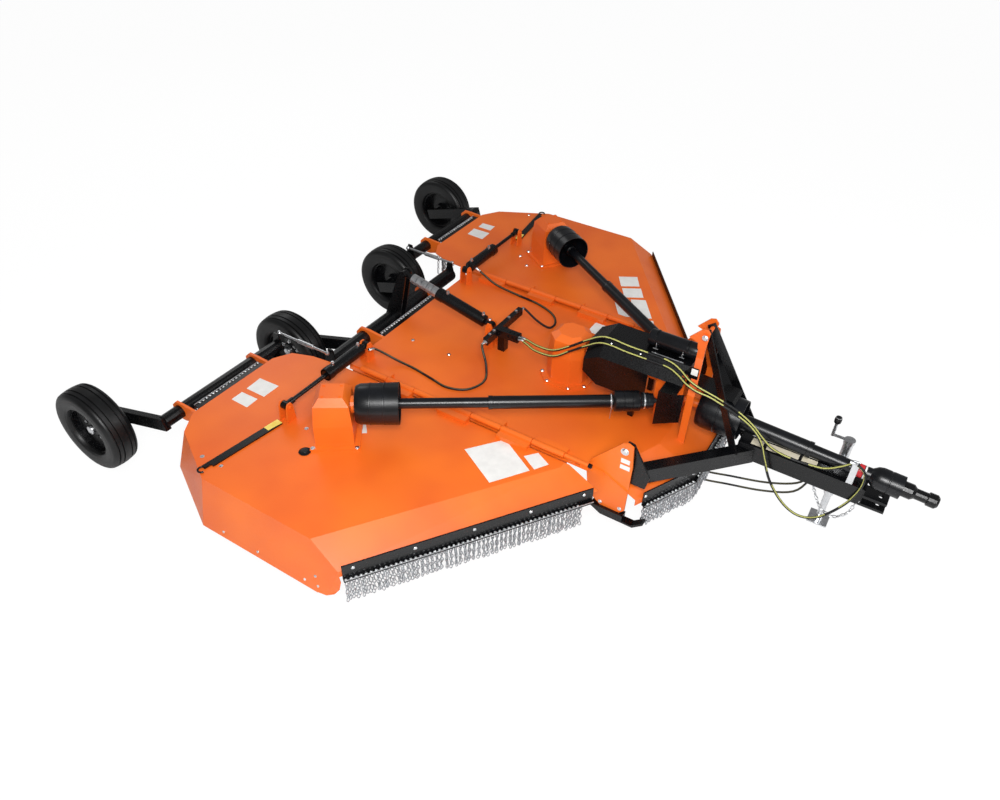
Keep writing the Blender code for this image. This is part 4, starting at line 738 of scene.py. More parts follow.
def guard_angle(stops, top, rise):
    """The black angle that the chains hang from, mitred where it turns."""
    places = [at(*p, 0) for p in stops]
    outs = [out for _, _, _, out in guard_runs(stops, 0)]
    shelf = top - GUARD_DEPTH
    section = [(0.0, top + rise), (GUARD_THICK, top + rise), (GUARD_THICK, shelf), (GUARD_PROUD, shelf),
               (GUARD_PROUD, shelf - GUARD_THICK), (0.0, shelf - GUARD_THICK)]
    if not rise:
        # At the rear the shelf stands level with the deck
        under = top - GUARD_THICK
        section = [(0.0, top), (REAR_PROUD, top), (REAR_PROUD, under), (GUARD_THICK, under),
                   (GUARD_THICK, shelf), (0.0, shelf)]
    rings = []
    for k, place in enumerate(places):
        before, after = outs[max(k - 1, 0)], outs[min(k, len(outs) - 1)]
        mitre = (before + after).normalized()
        mitre /= mitre.dot(after)
        rings.append([place + mitre * (o + SEAT) + Vector((0, 0, z)) for o, z in section])
    return softened(loft(rings), 0.0012)


class CUTTER_OT_chain_guards(bpy.types.Operator):
    """Makes the black angles, their rods and the two rows of chain under each"""
    bl_idname = "cutter.chain_guards"
    bl_label = "Chain Guards"

    def execute(self, context):
        sizes = context.scene.cutter_chain
        tree, heads = curtain_tree(), bolt_tree()
        for name, (stops, top, rise, short, body) in GUARDS.items():
            shelf = top - GUARD_DEPTH if rise else top
            proud = GUARD_PROUD if rise else REAR_PROUD
            runs = guard_runs(stops, shelf)
            angle = guard_angle(stops, top, rise)
            rods = [self.rod_on(run, proud) for run in runs]
            curtain = grown(tree, path_mesh(self.chain_rows(runs, proud, short, sizes)), {
                "Spacing": sizes.spacing, "Links": int((shelf - CHAIN_BOTTOM) / sizes.link_pitch),
                "Link Pitch": sizes.link_pitch, "Link Length": sizes.link_length,
                "Link Width": sizes.link_width, "Wire": sizes.wire, "Sway": sizes.sway, "Seed": sizes.seed,
                "Finish": FINISH["galvanised_chain"]})
            spots = (("bolts", self.bolt_rows(runs, rise), 0.45),
                     ("loops", self.loop_rows(runs, proud, short, sizes.spacing), 0.9))
            for side, hand in SIDES if name.startswith("left") else SIDES[:1]:
                own, rides = name.replace("left", hand), body.replace("left", hand)
                piece(f"{own}_guard_angle", on_side(angle, side), "black_enamel", rides,
                      [f"{own}_chain_guard"])
                piece(f"{own}_guard_rods", on_side(joined(rods), side), "zinc_plate", rides)
                piece(f"{own}_guard_chains", on_side(curtain, side), "galvanised_chain", rides)
                for label, rows, height in spots:
                    if rows:
                        bolts(f"{own}_guard_{label}", to_side(rows, side), rides, "zinc_plate", heads, True,
                              height)
        return {"FINISHED"}

    def rod_on(self, run, proud):
        """The rod that the chains' top links are threaded on."""
        start, end, way, out = run
        edge = out * (proud - 0.004) + Vector((0, 0, 0.004))
        return rod(start + way * 0.004 + edge, end - way * 0.004 + edge, 0.0035, 8)

    def chain_rows(self, runs, proud, short, sizes):
        """The paths that the chains hang from: two rows to a run, half a spacing apart."""
        low = Vector((0, 0, -GUARD_THICK - 0.5 * sizes.link_length - 0.001))
        paths = []
        for start, end, way, out in runs:
            for k, reach in enumerate((proud - 0.008, proud - 0.021)):
                first = start + way * (CHAIN_INSET + 0.5 * k * sizes.spacing)
                paths.append([first + out * reach + low, end - way * short + out * reach + low])
        return paths

    def loop_rows(self, runs, proud, short, spacing):
        """The top links, which stand out of the shelf as small round heads."""
        rows = []
        for start, end, way, out in runs:
            for k in range(int(((end - start).length - short) / spacing)):
                place = start + way * (CHAIN_INSET + k * spacing) + out * (proud - 0.015)
                rows.append((place, Vector((0, 0, 1)), 0.0105))
        return rows

    def bolt_rows(self, runs, rise):
        """The bolts that hold a front guard's face, about 0.36 m apart. A rear guard shows none."""
        rows = []
        for start, end, _, out in runs if rise else ():
            count = max(2, round((end - start).length / 0.36))
            for k in range(count):
                share = 0.04 + 0.92 * k / (count - 1)
                place = start + (end - start) * share + out * (GUARD_THICK + SEAT)
                rows.append((place + Vector((0, 0, 0.036 + rise * 0.9)), out, 0.0125))
        return rows


class CUTTER_OT_tyres(bpy.types.Operator):
    """Makes the four ribbed implement tyres"""
    bl_idname = "cutter.tyres"
    bl_label = "Tyres"

    def execute(self, context):
        sizes = context.scene.cutter_tyre
        r, half, bead, cut = sizes.radius, sizes.half_width, sizes.bead, sizes.groove
        shoulder = [
            (half * 0.62, bead), (half * 0.74, bead + 0.002), (half * 0.86, bead + 0.010),
            (half * 0.90, bead + 0.018), (half * 0.925, bead + 0.021), (half * 0.945, bead + 0.026),
            (half * 0.955, bead + 0.034), (half * 0.985, bead + 0.050), (half, bead + 0.070),
            (half, bead + 0.084), (half * 0.985, bead + 0.092), (half * 0.99, bead + 0.096),
            (half * 0.96, bead + 0.108), (half * 0.90, r * 0.935), (half * 0.82, r * 0.962),
            (half * 0.75, r * 0.974), (half * 0.70, r * 0.978), (half * 0.68, r * 0.978 - cut),
            (half * 0.61, r * 0.980 - cut), (half * 0.59, r * 0.985), (half * 0.36, r * 0.994),
            (half * 0.34, r * 0.994 - cut), (half * 0.27, r * 0.995 - cut), (half * 0.25, r * 0.998),
            (half * 0.10, r),
        ]
        profile = [(-s, q) for s, q in shoulder] + [(s, q) for s, q in reversed(shoulder)]
        for kind, (x, back) in WHEELS.items():
            for side, hand in SIDES:
                shape = turned(at(x * side, back, r), (side, 0, 0), profile, 84, closed=True)
                piece(f"{hand}_{kind}_ribbed_tyre", shape, "tyre_rubber", f"{hand}_{kind}_wheel",
                      [f"{hand}_{kind}_tyre"], angle=28)
        return {"FINISHED"}


class CUTTER_OT_wheel_hubs(bpy.types.Operator):
    """Adds the lug nuts, the hub cap and its collar to each wheel"""
    bl_idname = "cutter.wheel_hubs"
    bl_label = "Wheel Hubs"

    def execute(self, context):
        heads = bolt_tree()
        radius = context.scene.cutter_tyre.radius
        for kind, (x, back) in WHEELS.items():
            for side, hand in SIDES:
                body, out = f"{hand}_{kind}_wheel", Vector((side, 0, 0))
                centre = at(x * side, back, radius)
                rows = []
                for k in range(5):
                    turn = math.radians(18 + 72 * k)
                    reach = Vector((0, math.cos(turn), math.sin(turn))) * 0.084
                    rows.append((centre + reach + out * 0.012, out, 0.0125))
                bolts(f"{body}_lug_nuts", rows, body, "zinc_plate", heads, False, 1.1, 1.35)
                cap = turned(centre, out, [(0.026, 0.0365), (0.050, 0.0365), (0.058, 0.033), (0.063, 0.024),
                                           (0.065, 0.010)], 32)
                piece(f"{body}_hub_cap", cap, "zinc_plate", body)
                collar = turned(centre, out, [(0.010, 0.060), (0.031, 0.060), (0.033, 0.056), (0.033, 0.0366),
                                              (0.010, 0.0366)], 32, closed=True)
                piece(f"{body}_hub_collar", collar, "black_enamel", body)
        return {"FINISHED"}


class CUTTER_OT_drive_shafts(bpy.types.Operator):
    """Makes the guards of the drive shafts, round and ribbed, with their clamps and bands"""
    bl_idname = "cutter.drive_shafts"
    bl_label = "Drive Shafts"

    def execute(self, context):
        self.wing_guards("black_polyethylene")
        self.input_guards("black_polyethylene")
        return {"FINISHED"}

    def wing_guards(self, plastic):
        """The two tubes and the bell of each wing's drive shaft, as (place along it, radius) steps."""
        start, away, reach = left_drive_line()
        end = reach * 0.62
        outer = [*ball(0.030), (0.055, 0.024), (0.060, 0.050), (0.090, 0.053), (0.092, 0.056),
                 (0.098, 0.056), (0.100, 0.054), (0.146, 0.058), (0.154, 0.069), (0.160, 0.072),
                 (0.205, 0.072), (0.207, 0.0695), (0.213, 0.0695), (0.215, 0.072), (0.262, 0.072),
                 (0.264, 0.0695), (0.270, 0.0695), (0.272, 0.072), (0.322, 0.072), (0.330, 0.064),
                 (0.335, 0.045), (end - 0.030, 0.045), (end - 0.028, 0.0475), (end, 0.0475),
                 (end, 0.0365), (0.20, 0.0365)]
        inner = [(0.58, 0.036), (reach - 0.10, 0.036), (reach - 0.09, 0.044), (reach - 0.045, 0.044),
                 (reach - 0.040, 0.020), *ball(0.030, reach, 42, 155)]
        bell_start = at(*WING_GEARBOX) - away * (BOSS_REACH - 0.012)
        neck, r, wall = 0.0605, 0.145, 0.006
        bell = [(0, neck), (0, r * 0.84), (0.006, r * 0.88), (0.030, r * 0.95), (0.090, r * 0.965),
                (0.093, r * 0.985), (0.101, r * 0.985), (0.104, r * 0.967), (0.185, r * 0.98),
                (0.188, r * 0.998), (0.196, r * 0.998), (0.199, r * 0.984), (0.280, r * 0.995), (0.290, r),
                (0.290, r - wall), (0.03, r * 0.95 - wall), (wall, r * 0.86 - wall), (wall, neck)]
        for side, hand in SIDES:
            piece(f"{hand}_shaft_guard_outer", on_side(turned(start, away, outer), side), plastic,
                  f"{hand}_drive_outer", [f"{hand}_drive_outer"])
            piece(f"{hand}_shaft_guard_inner", on_side(turned(start, away, inner), side), plastic,
                  f"{hand}_drive_inner", [f"{hand}_drive_inner"])
            piece(f"{hand}_gearbox_bell", on_side(turned(bell_start, -away, bell, 64, closed=True), side),
                  plastic, f"{hand}_wing", [f"{hand}_joint_shield"])
            clamps = [hoop(start + away * place, away, size - 0.004, size + 0.0008, 0.010)
                      for place, size in ((0.118, 0.0572), (0.345, 0.0465))]
            piece(f"{hand}_shaft_clamps", on_side(joined(clamps), side), "zinc_plate", f"{hand}_drive_outer")

    def input_guards(self, plastic):
        """The two tubes and the bell of the input shaft, and the colour bands on its front tube."""
        begin, tip = at(*INPUT_START), at(*INPUT_END)
        way = (tip - begin).normalized()
        length = (tip - begin).length
        split, bell_at = 0.72, length - 0.42
        rear = [*ball(0.030), (0.06, 0.024), (0.065, 0.067), (0.110, 0.067), (0.112, 0.064), (0.118, 0.064),
                (0.120, 0.067), (0.16, 0.067), (0.17, 0.055), (split - 0.030, 0.055),
                (split - 0.028, 0.0575), (split, 0.0575), (split, 0.0455), (0.20, 0.0455)]
        front = [(0.32, 0.045), (bell_at - 0.050, 0.045), (bell_at, 0.047), (bell_at + 0.03, 0.070),
                 (bell_at + 0.06, 0.078), (bell_at + 0.11, 0.078), (bell_at + 0.113, 0.0755),
                 (bell_at + 0.119, 0.0755), (bell_at + 0.122, 0.078), (bell_at + 0.20, 0.078),
                 (bell_at + 0.20, 0.072), (bell_at + 0.06, 0.072), (bell_at + 0.05, 0.030),
                 (bell_at + 0.07, 0.030)]
        piece("input_guard_rear", turned(begin, way, rear), plastic, "input_rear", ["input_shaft_rear"])
        piece("input_guard_front", turned(begin, way, front), plastic, "input_front", ["input_shaft_front"])
        neck, r, wall = 0.0345, 0.150, 0.006
        bell = [(0, neck), (0, r * 0.90), (0.012, r * 0.945), (0.050, r), (0.135, r), (0.138, r * 0.978),
                (0.146, r * 0.978), (0.149, r), (0.16, r), (0.285, r * 0.94), (0.30, r * 0.93),
                (0.30, r * 0.93 - wall), (0.16, r - wall), (0.05, r - wall), (wall, r * 0.93 - wall),
                (wall, neck)]
        piece("input_bell", turned(at(0, -3.040, 0.745), (0, -1, 0), bell, 64, closed=True), plastic,
              "centre", ["input_joint_shield"])
        bands = ((1.005, 0.050, "red_label"), (1.060, 0.045, "blank_label"))
        for k, (place, width, finish) in enumerate(bands):
            band = hoop(begin + way * place, way, 0.0440, 0.0458, width)
            piece(f"input_band_{k}", band, finish, "input_front")


LOOPED_HOSE = [
    (-0.105, MANIFOLD_FRONT, 0.806), (-0.105, -1.640, 0.806), (-0.128, -1.700, 0.806),
    (-0.175, -1.800, 0.815), (-0.202, -1.960, 0.850),
    (-0.178, -2.080, 0.930), (-0.157, -2.190, 1.005), (-0.1456, -2.310, 1.068), (-0.1456, -2.500, 1.064),
    (-0.1456, -2.680, 1.064), (-0.149, -2.800, 1.062), (-0.178, -2.880, 1.052), (-0.222, -2.960, 1.038),
    (-0.228, -3.040, 1.015), (-0.203, -3.140, 0.985), (-0.178, -3.300, 0.915),
    (-0.145, -3.420, 0.830), (-0.135, -3.505, 0.735), (-0.125, -3.560, 0.600), (-0.115, -3.640, 0.420),
    (-0.110, -3.760, 0.275), (-0.105, -3.880, 0.215), (-0.100, -3.990, 0.250), (-0.100, -4.080, 0.370),
    (-0.100, -4.150, 0.520), (-0.100, -4.180, 0.660), (-0.094, -4.165, 0.760), (-0.0855, -4.100, 0.800),
    (-0.0855, -4.060, 0.802),
]
TOP_HOSE = [
    (-0.075, MANIFOLD_FRONT, 0.806), (-0.075, -1.640, 0.806), (-0.090, -1.690, 0.814),
    (-0.145, -1.800, 0.842), (-0.178, -1.940, 0.880),
    (-0.158, -2.060, 0.950), (-0.132, -2.180, 1.035), (-0.1196, -2.310, 1.106), (-0.1196, -2.500, 1.100),
    (-0.1196, -2.700, 1.100), (-0.126, -2.810, 1.093), (-0.152, -2.890, 1.076), (-0.194, -2.965, 1.056),
    (-0.200, -3.045, 1.030), (-0.176, -3.160, 0.985),
    (-0.152, -3.300, 0.925), (-0.128, -3.420, 0.840), (-0.110, -3.500, 0.755), (-0.090, -3.580, 0.680),
    (-0.072, -3.680, 0.642), (-0.068, -3.800, 0.640), (-0.070, -3.930, 0.660), (-0.067, -4.020, 0.720),
    (-0.0635, -4.080, 0.775), (-0.0635, -4.120, 0.780),
]
RIGHT_FOLD_HOSE = [
    (0.745, -0.672, 0.715), (0.700, -0.690, 0.705), (0.655, -0.740, 0.660), (0.620, -0.840, 0.610),
    (0.610, -1.000, 0.588), (0.640, -1.180, 0.587), (0.660, -1.330, 0.587), (0.600, -1.470, 0.588),
    (0.460, -1.530, 0.600), (0.370, -1.490, 0.670), (0.320, -1.420, 0.780), (0.290, -1.410, 0.796),
    (0.260, -1.410, 0.796),
]
LEFT_FOLD_HOSE = [
    (0.745, -0.672, 0.715), (0.752, -0.730, 0.680), (0.752, -0.880, 0.610), (0.745, -1.100, 0.588),
    (0.720, -1.320, 0.587), (0.650, -1.500, 0.587), (0.540, -1.590, 0.590), (0.430, -1.590, 0.605),
    (0.365, -1.510, 0.680), (0.320, -1.420, 0.780), (0.290, -1.410, 0.796), (0.260, -1.410, 0.796),
]


def fitting(place, way, radius):
    """A crimped end with its hexagon, on a hose that leaves along way."""
    way = Vector(way).normalized()
    nut = turned(place, way, [(0, radius * 1.35), (0.016, radius * 1.35)], 6)
    sleeve = turned(place, way, [(0.014, radius * 1.1), (0.016, radius * 1.28), (0.044, radius * 1.28),
                                 (0.047, radius * 1.05)], 20)
    return [nut, sleeve]


class CUTTER_OT_hoses(bpy.types.Operator):
    """Makes the smooth hoses with their printed line and crimped ends"""
    bl_idname = "cutter.hoses"
    bl_label = "Hoses"

    def execute(self, context):
        sizes = context.scene.cutter_hose
        shapes, ends = [], []
        for route in (LOOPED_HOSE, TOP_HOSE):
            stops = [at(*p) for p in route]
            shapes.append(swept(smooth_path(stops, sizes.steps), sizes.radius))
            ends += fitting(stops[0], stops[1] - stops[0], sizes.radius)
            ends += fitting(stops[-1], stops[-2] - stops[-1], sizes.radius)
        piece("tongue_hose_pair", joined(shapes), "hose_rubber", "centre", ["tongue_hoses"])
        bar = beam(at(-0.0745, -4.100, 0.622), at(-0.0745, -4.100, 0.815), 0.009, 0.040, (0, 1, 0))
        holder = softened(bar, 0.001)
        piece("hose_holder", holder, "zinc_plate", "centre")
        for side, hand, route in ((1, "left", LEFT_FOLD_HOSE), (-1, "right", RIGHT_FOLD_HOSE)):
            stops = [at(x * side, back, z) for x, back, z in route]
            tube = swept(smooth_path(stops, sizes.steps), sizes.radius)
            piece(f"{hand}_fold_hose_smooth", tube, "fold_hose", "centre", [f"{hand}_fold_hose"])
            ends += fitting(stops[0], stops[1] - stops[0], sizes.radius)
            ends += fitting(stops[-1], stops[-2] - stops[-1], sizes.radius)
        piece("hose_fittings", joined(ends), "zinc_plate", "centre")
        low = []
        for x, drop in ((0.030, 0.0), (-0.020, 0.040)):
            route = [at(x + 0.03, -2.900, 0.330 - drop), at(x + 0.01, -3.020, 0.200 - drop),
                     at(x, -3.155, 0.150 - drop), at(x, -3.364, 0.200 - drop), at(x, -3.610, 0.270 - drop),
                     at(x, -3.800, 0.370 - drop), at(x, -3.880, 0.4985)]
            low.append(swept(smooth_path(route, sizes.steps), 0.0075))
        piece("under_beam_hoses", joined(low), "fold_hose", "centre")
        return {"FINISHED"}


class CUTTER_OT_cylinders(bpy.types.Operator):
    """Dresses the hydraulic cylinders with smooth barrels, gland caps and ports"""
    bl_idname = "cutter.cylinders"
    bl_label = "Cylinders"

    def execute(self, context):
        for side, hand in SIDES:
            self.dress(f"{hand}_fold", FOLD, 0.460, 0.045, side, f"{hand}_fold_barrel")
        self.dress("lift", LIFT, 0.520, 0.048, 1, "centre")
        return {"FINISHED"}

    def dress(self, name, eyes, length, radius, side, body):
        """The shell of one barrel, from its base eye towards its rod's eye, and its two ports."""
        base, pin = at(*eyes[0]), at(*eyes[1])
        along = (pin - base).normalized()
        r, bore = radius + 0.0012, radius - 0.010
        shell = [(0.058, r * 0.80), (0.064, r * 0.98), (0.070, r), (length - 0.060, r),
                 (length - 0.058, r + 0.004), (length - 0.004, r + 0.004), (length, r), (length, bore),
                 (0.058, bore)]
        piece(f"{name}_barrel_shell", on_side(turned(base, along, shell, 40, closed=True), side),
              "black_enamel", body)
        up = frame_on(along)[1]
        ports = []
        for place in (0.090, length - 0.085):
            foot = base + along * place + up * (radius - 0.006)
            ports.append(rod(foot, foot + up * 0.022, 0.013))
            ports.append(turned(foot + up * 0.020, up, [(0, 0.011), (0.012, 0.011)], 6))
        piece(f"{name}_ports", on_side(joined(ports), side), "zinc_plate", body)


class CUTTER_OT_fasteners(bpy.types.Operator):
    """Puts the bolts on the decks, gearboxes, skirts, side plates and cover"""
    bl_idname = "cutter.fasteners"
    bl_label = "Fasteners"

    def execute(self, context):
        heads = bolt_tree()
        up = Vector((0, 0, 1))
        away = left_drive_line()[1]
        across = Vector((-away.y, away.x, 0))
        foot, lid = (at(WING_GEARBOX[0], WING_GEARBOX[1], z) for z in (FOOT_TOP, 0.9652))
        deck = [(foot + (away * i + across * j) * 0.148, up, 0.011) for i, j in CORNERS]
        deck += [(at(x, back, DECK_TOP), up, size) for x, back, size in (
            (1.568, -0.778, 0.010), (1.372, -0.760, 0.010), (1.250, -0.900, 0.010), (2.155, -0.398, 0.010),
            (2.150, -0.569, 0.009))]
        slope = Vector((0.356, 0, 0.090)).normalized()
        skirt = [(at(2.300 + 0.090 * (DECK_TOP - z) / 0.356, back, z), slope, 0.010) for back, z in (
            (-0.750, 0.262), (-1.055, 0.262), (-1.453, 0.262), (-1.534, 0.330), (-1.560, 0.268))]
        cap = [(lid + (away * i + across * j) * 0.058, up, 0.008) for i, j in CORNERS]
        for side, hand in SIDES:
            body = f"{hand}_wing"
            bolts(f"{hand}_wing_bolts", to_side(deck, side), body, "zinc_plate", heads)
            bolts(f"{hand}_skirt_bolts", to_side(skirt, side), body, "zinc_plate", heads, True, 0.5)
            bolts(f"{hand}_gearbox_lid_bolts", to_side(cap, side), body, "orange_enamel", heads)
            plug = turned(at(1.750 * side, -0.930, DECK_TOP - 0.002), up,
                          [(0, 0.038), (0.006, 0.042), (0.009, 0.038), (0.010, 0.020), (0.013, 0.018)], 32)
            piece(f"{hand}_deck_plug", plug, "black_polyethylene", body)
        bolts("centre_bolts", self.centre_rows(up), "centre", "zinc_plate", heads)
        cover = [(at(0.126 * side, back, 1.073), Vector((0.8 * side, 0, 0.6)), 0.0075)
                 for side in (-1, 1) for back in (-2.36, -2.58, -2.86)]
        bolts("cover_bolts", cover, "centre", "zinc_plate", heads, True, 0.45)
        return {"FINISHED"}

    def centre_rows(self, up):
        """The bolts round the centre gearbox, on the deck, on the side plates and at the mast's head."""
        ring = ((1, 0.5), (0.5, 1), (-0.5, 1), (-1, 0.5), (-1, -0.5), (-0.5, -1), (0.5, -1), (1, -0.5))
        rows = [(at(i * 0.178, -2.000 + j * 0.178, FOOT_TOP), up, 0.010) for i, j in ring]
        for side, _ in SIDES:
            rows += [(at(side * 0.30, back, DECK_TOP), up, 0.010) for back in (-0.75, -1.10)]
            rows += [(at(side * 0.8072, back, z), Vector((side, 0, 0)), size) for back, z, size in (
                (-2.817, 0.812, 0.019), (-2.845, 0.300, 0.010), (-2.700, 0.290, 0.010),
                (-2.619, 0.544, 0.010))]
        return rows + [(at(0.103 * side, -2.985, 1.350), (side, 0, 0), 0.014) for side, _ in SIDES]


LABELS = [
    ("right_wing", [(-1.140, -1.810), (-0.903, -1.990), (-1.075, -2.282), (-1.315, -2.120)]),
    ("right_wing", [(-0.977, -2.180), (-0.895, -2.245), (-0.955, -2.360), (-1.049, -2.302)]),
    ("right_wing", [(-1.476, -0.110), (-1.333, -0.102), (-1.326, -0.284), (-1.476, -0.284)]),
    ("right_wing", [(-1.625, -0.112), (-1.524, -0.112), (-1.521, -0.265), (-1.630, -0.270)]),
    ("right_wing", [(-1.389, -1.017), (-1.303, -1.089), (-1.373, -1.155), (-1.442, -1.070)]),
    ("left_wing", [(1.551, -1.697), (1.639, -1.841), (1.498, -1.926), (1.409, -1.786)]),
    ("left_wing", [(1.383, -1.808), (1.471, -1.952), (1.342, -2.033), (1.255, -1.890)]),
    ("left_wing", [(1.253, -1.951), (1.315, -2.065), (1.077, -2.226), (0.996, -2.107)]),
    ("left_wing", [(1.182, -1.822), (1.241, -1.933), (1.010, -2.090), (0.950, -1.980)]),
    ("left_wing", [(0.988, -2.141), (1.048, -2.251), (0.965, -2.300), (0.905, -2.195)]),
    ("left_wing", [(1.732, -0.108), (1.740, -0.245), (1.642, -0.253), (1.643, -0.115)]),
    ("left_wing", [(1.586, -0.098), (1.588, -0.278), (1.446, -0.285), (1.455, -0.110)]),
    ("centre", [(0.600, -1.860), (0.755, -1.860), (0.755, -2.140), (0.600, -2.140)]),
]


class CUTTER_OT_labels(bpy.types.Operator):
    """Lays the blank label sheets on the decks, the side plates and the beam"""
    bl_idname = "cutter.labels"
    bl_label = "Labels"

    def execute(self, context):
        shapes = {}
        for body, corners in LABELS:
            flat = [at(x, back, DECK_TOP + LABEL_LIFT) for x, back in corners]
            shapes.setdefault(body, []).append(slab(flat, (0, 0, 1), LABEL_THICK))
        for side in (-1, 1):
            for back, low, high in ((-2.862, 0.715, 0.752), (-2.868, 0.662, 0.698)):
                corners = upright(side * PLATE_SIDE, -2.800, back, low, high)
                shapes["centre"].append(slab(corners, (side, 0, 0), LABEL_THICK))
        for body, parts in shapes.items():
            piece(f"{body}_blank_labels", joined(parts), "blank_label", body)
        strip = slab(oblong(0.022, 0.048, -3.430, -3.960, BEAM_TOP), (0, 0, 1), LABEL_THICK)
        piece("beam_top_strip", strip, "blank_label", "centre")
        sheets = [slab(oblong(-0.062, 0.008, first, last, BEAM_TOP), (0, 0, 1), LABEL_THICK)
                  for first, last in ((-3.440, -3.520), (-3.545, -3.760), (-3.780, -3.880))]
        piece("beam_top_labels", joined(sheets), "cream_label", "centre")
        return {"FINISHED"}


class CUTTER_OT_mast_trim(bpy.types.Operator):
    """Adds the bracket on the mast with its blank plate and its amber reflector"""
    bl_idname = "cutter.mast_trim"
    bl_label = "Mast Trim"

    def execute(self, context):
        for side, hand in reversed(SIDES):
            plate = [at(0.142 * side, b, z) for b, z in ((-2.900, 1.000), (-3.005, 1.035), (-3.005, 1.130),
                                                        (-2.950, 1.130), (-2.900, 1.060))]
            piece(f"{hand}_mast_bracket", softened(slab(plate, (side, 0, 0), 0.004), 0.0008),
                  "black_enamel", "centre")
            sheet = slab(upright(0.1462 * side, -2.955, -3.000, 1.072, 1.122), (side, 0, 0), LABEL_THICK)
            piece(f"{hand}_mast_label", sheet, "blank_label", "centre")
            lens = turned(at(0.146 * side, -2.925, 1.035), (side, 0, 0),
                          [(0, 0.021), (0.006, 0.021), (0.008, 0.019), (0.009, 0.010)], 32)
            piece(f"{hand}_amber_reflector", lens, "amber_lens", "centre")
        return {"FINISHED"}


class CUTTER_OT_cover_trim(bpy.types.Operator):
    """Dresses the paper canister on the cover, with its cap, catches and hinge rod"""
    bl_idname = "cutter.cover_trim"
    bl_label = "Cover Trim"

    def execute(self, context):
        r = 0.0565
        start = at(0, -2.5885, 1.159)
        body = [(0, r - 0.009), (0.003, r - 0.003), (0.010, r), (0.286, r), (0.290, r + 0.0012),
                (0.296, r + 0.0018), (0.372, r + 0.0018), (0.380, r - 0.002), (0.3825, r - 0.010)]
        piece("paper_canister", turned(start, (0, -1, 0), body), "black_polyethylene", "centre")
        rings = [hoop(at(0, back, 1.159), (0, -1, 0), r + 0.0005, r + 0.004, 0.008, SMOOTH)
                 for back in (-2.640, -2.866)]
        piece("canister_straps", joined(rings), "black_enamel", "centre")
        catches = []
        for back in (-2.660, -2.850):
            catches.append(rod(at(-0.060, back, 1.112), at(-0.060, back, 1.160), 0.0035, 8))
            catches.append(rod(at(-0.060, back - 0.018, 1.112), at(-0.060, back + 0.018, 1.112), 0.0035, 8))
        hinge = rod(at(-0.101, -2.650, 1.1055), at(-0.101, -2.880, 1.1055), 0.004, 10)
        piece("cover_catches", joined([*catches, hinge]), "zinc_plate", "centre")
        return {"FINISHED"}


class CUTTER_OT_hinge_lines(bpy.types.Operator):
    """Closes the hinge lines with a rod end, two lapped strips below it and the wing's front corner"""
    bl_idname = "cutter.hinge_lines"
    bl_label = "Hinge Lines"

    def execute(self, context):
        corner = [on_edge(*WING_EDGE, 0.930), on_edge(*WING_EDGE, 0.874)]
        for side, hand in SIDES:
            run = rod(at(0.849, -2.424, 0.610), at(0.849, -2.600, 0.610), 0.016, 24)
            piece(f"{hand}_hinge_rod_end", on_side(run, side), "orange_enamel", "centre")
            tip = turned(at(0.849, -2.600, 0.610), (0, -1, 0), [(0, 0.0155), (0.022, 0.0155), (0.026, 0.011)],
                         24)
            piece(f"{hand}_hinge_pin_tip", on_side(tip, side), "black_enamel", "centre")
            under = slab(oblong(0.8185, 0.855, -2.600, -0.560, 0.562), (0, 0, 1), 0.004)
            stays = [beam(at(0.849, back, 0.566), at(0.849, back, 0.600), 0.008, 0.060, (0, 1, 0))
                     for back in (-2.470, -2.570)]
            fence = beam(at(0.8207, -2.430, 0.534), at(0.8207, -0.560, 0.534), 0.004, 0.0555)
            piece(f"{hand}_hinge_upper_strip", on_side(joined([under, fence, *stays]), side),
                  "orange_enamel", "centre")
            lower = slab(oblong(0.8795, 0.862, -2.440, -0.560, 0.536), (0, 0, 1), 0.004)
            # The flap drops 0.126 m with the skirt, from the deck's sheet to its front edge
            flap = loft([[at(0.8795, -2.4399, z), at(0.930, -2.4399, z), at(*corner[0], z - 0.126),
                          at(*corner[1], z - 0.126), at(0.8795, -2.4755, z)]
                         for z in (DECK_TOP - 0.0045, DECK_TOP - 0.0005)])
            piece(f"{hand}_wing_corner", on_side(joined([lower, flap]), side), "orange_enamel",
                  f"{hand}_wing")
        return {"FINISHED"}


class CUTTER_OT_lock_bar_trim(bpy.types.Operator):
    """Adds the yellow tab and the hooked end of each wing's lock bar"""
    bl_idname = "cutter.lock_bar_trim"
    bl_label = "Lock Bar Trim"

    def execute(self, context):
        start, end = at(1.620, -0.580, 0.5886), at(2.230, -0.500, 0.5886)
        along = (end - start).normalized()
        across = Vector((-along.y, along.x, 0)) * 0.0279
        for side, hand in SIDES:
            tab = slab([start + across, start - across, start + along * 0.115 - across * 0.7,
                        start + along * 0.115 + across], (0, 0, 1), 0.0012)
            piece(f"{hand}_lock_bar_tab", on_side(tab, side), "yellow_label", f"{hand}_wing")
            turns = [math.radians(a) for a in range(-80, 181, 20)]
            path = [end + along * (0.018 + 0.026 * math.cos(a)) + across * (0.026 * math.sin(a) / 0.0279)
                    - Vector((0, 0, 0.004)) for a in turns]
            piece(f"{hand}_lock_bar_hook", on_side(swept(path, 0.0065), side), "black_enamel",
                  f"{hand}_wing")
        return {"FINISHED"}


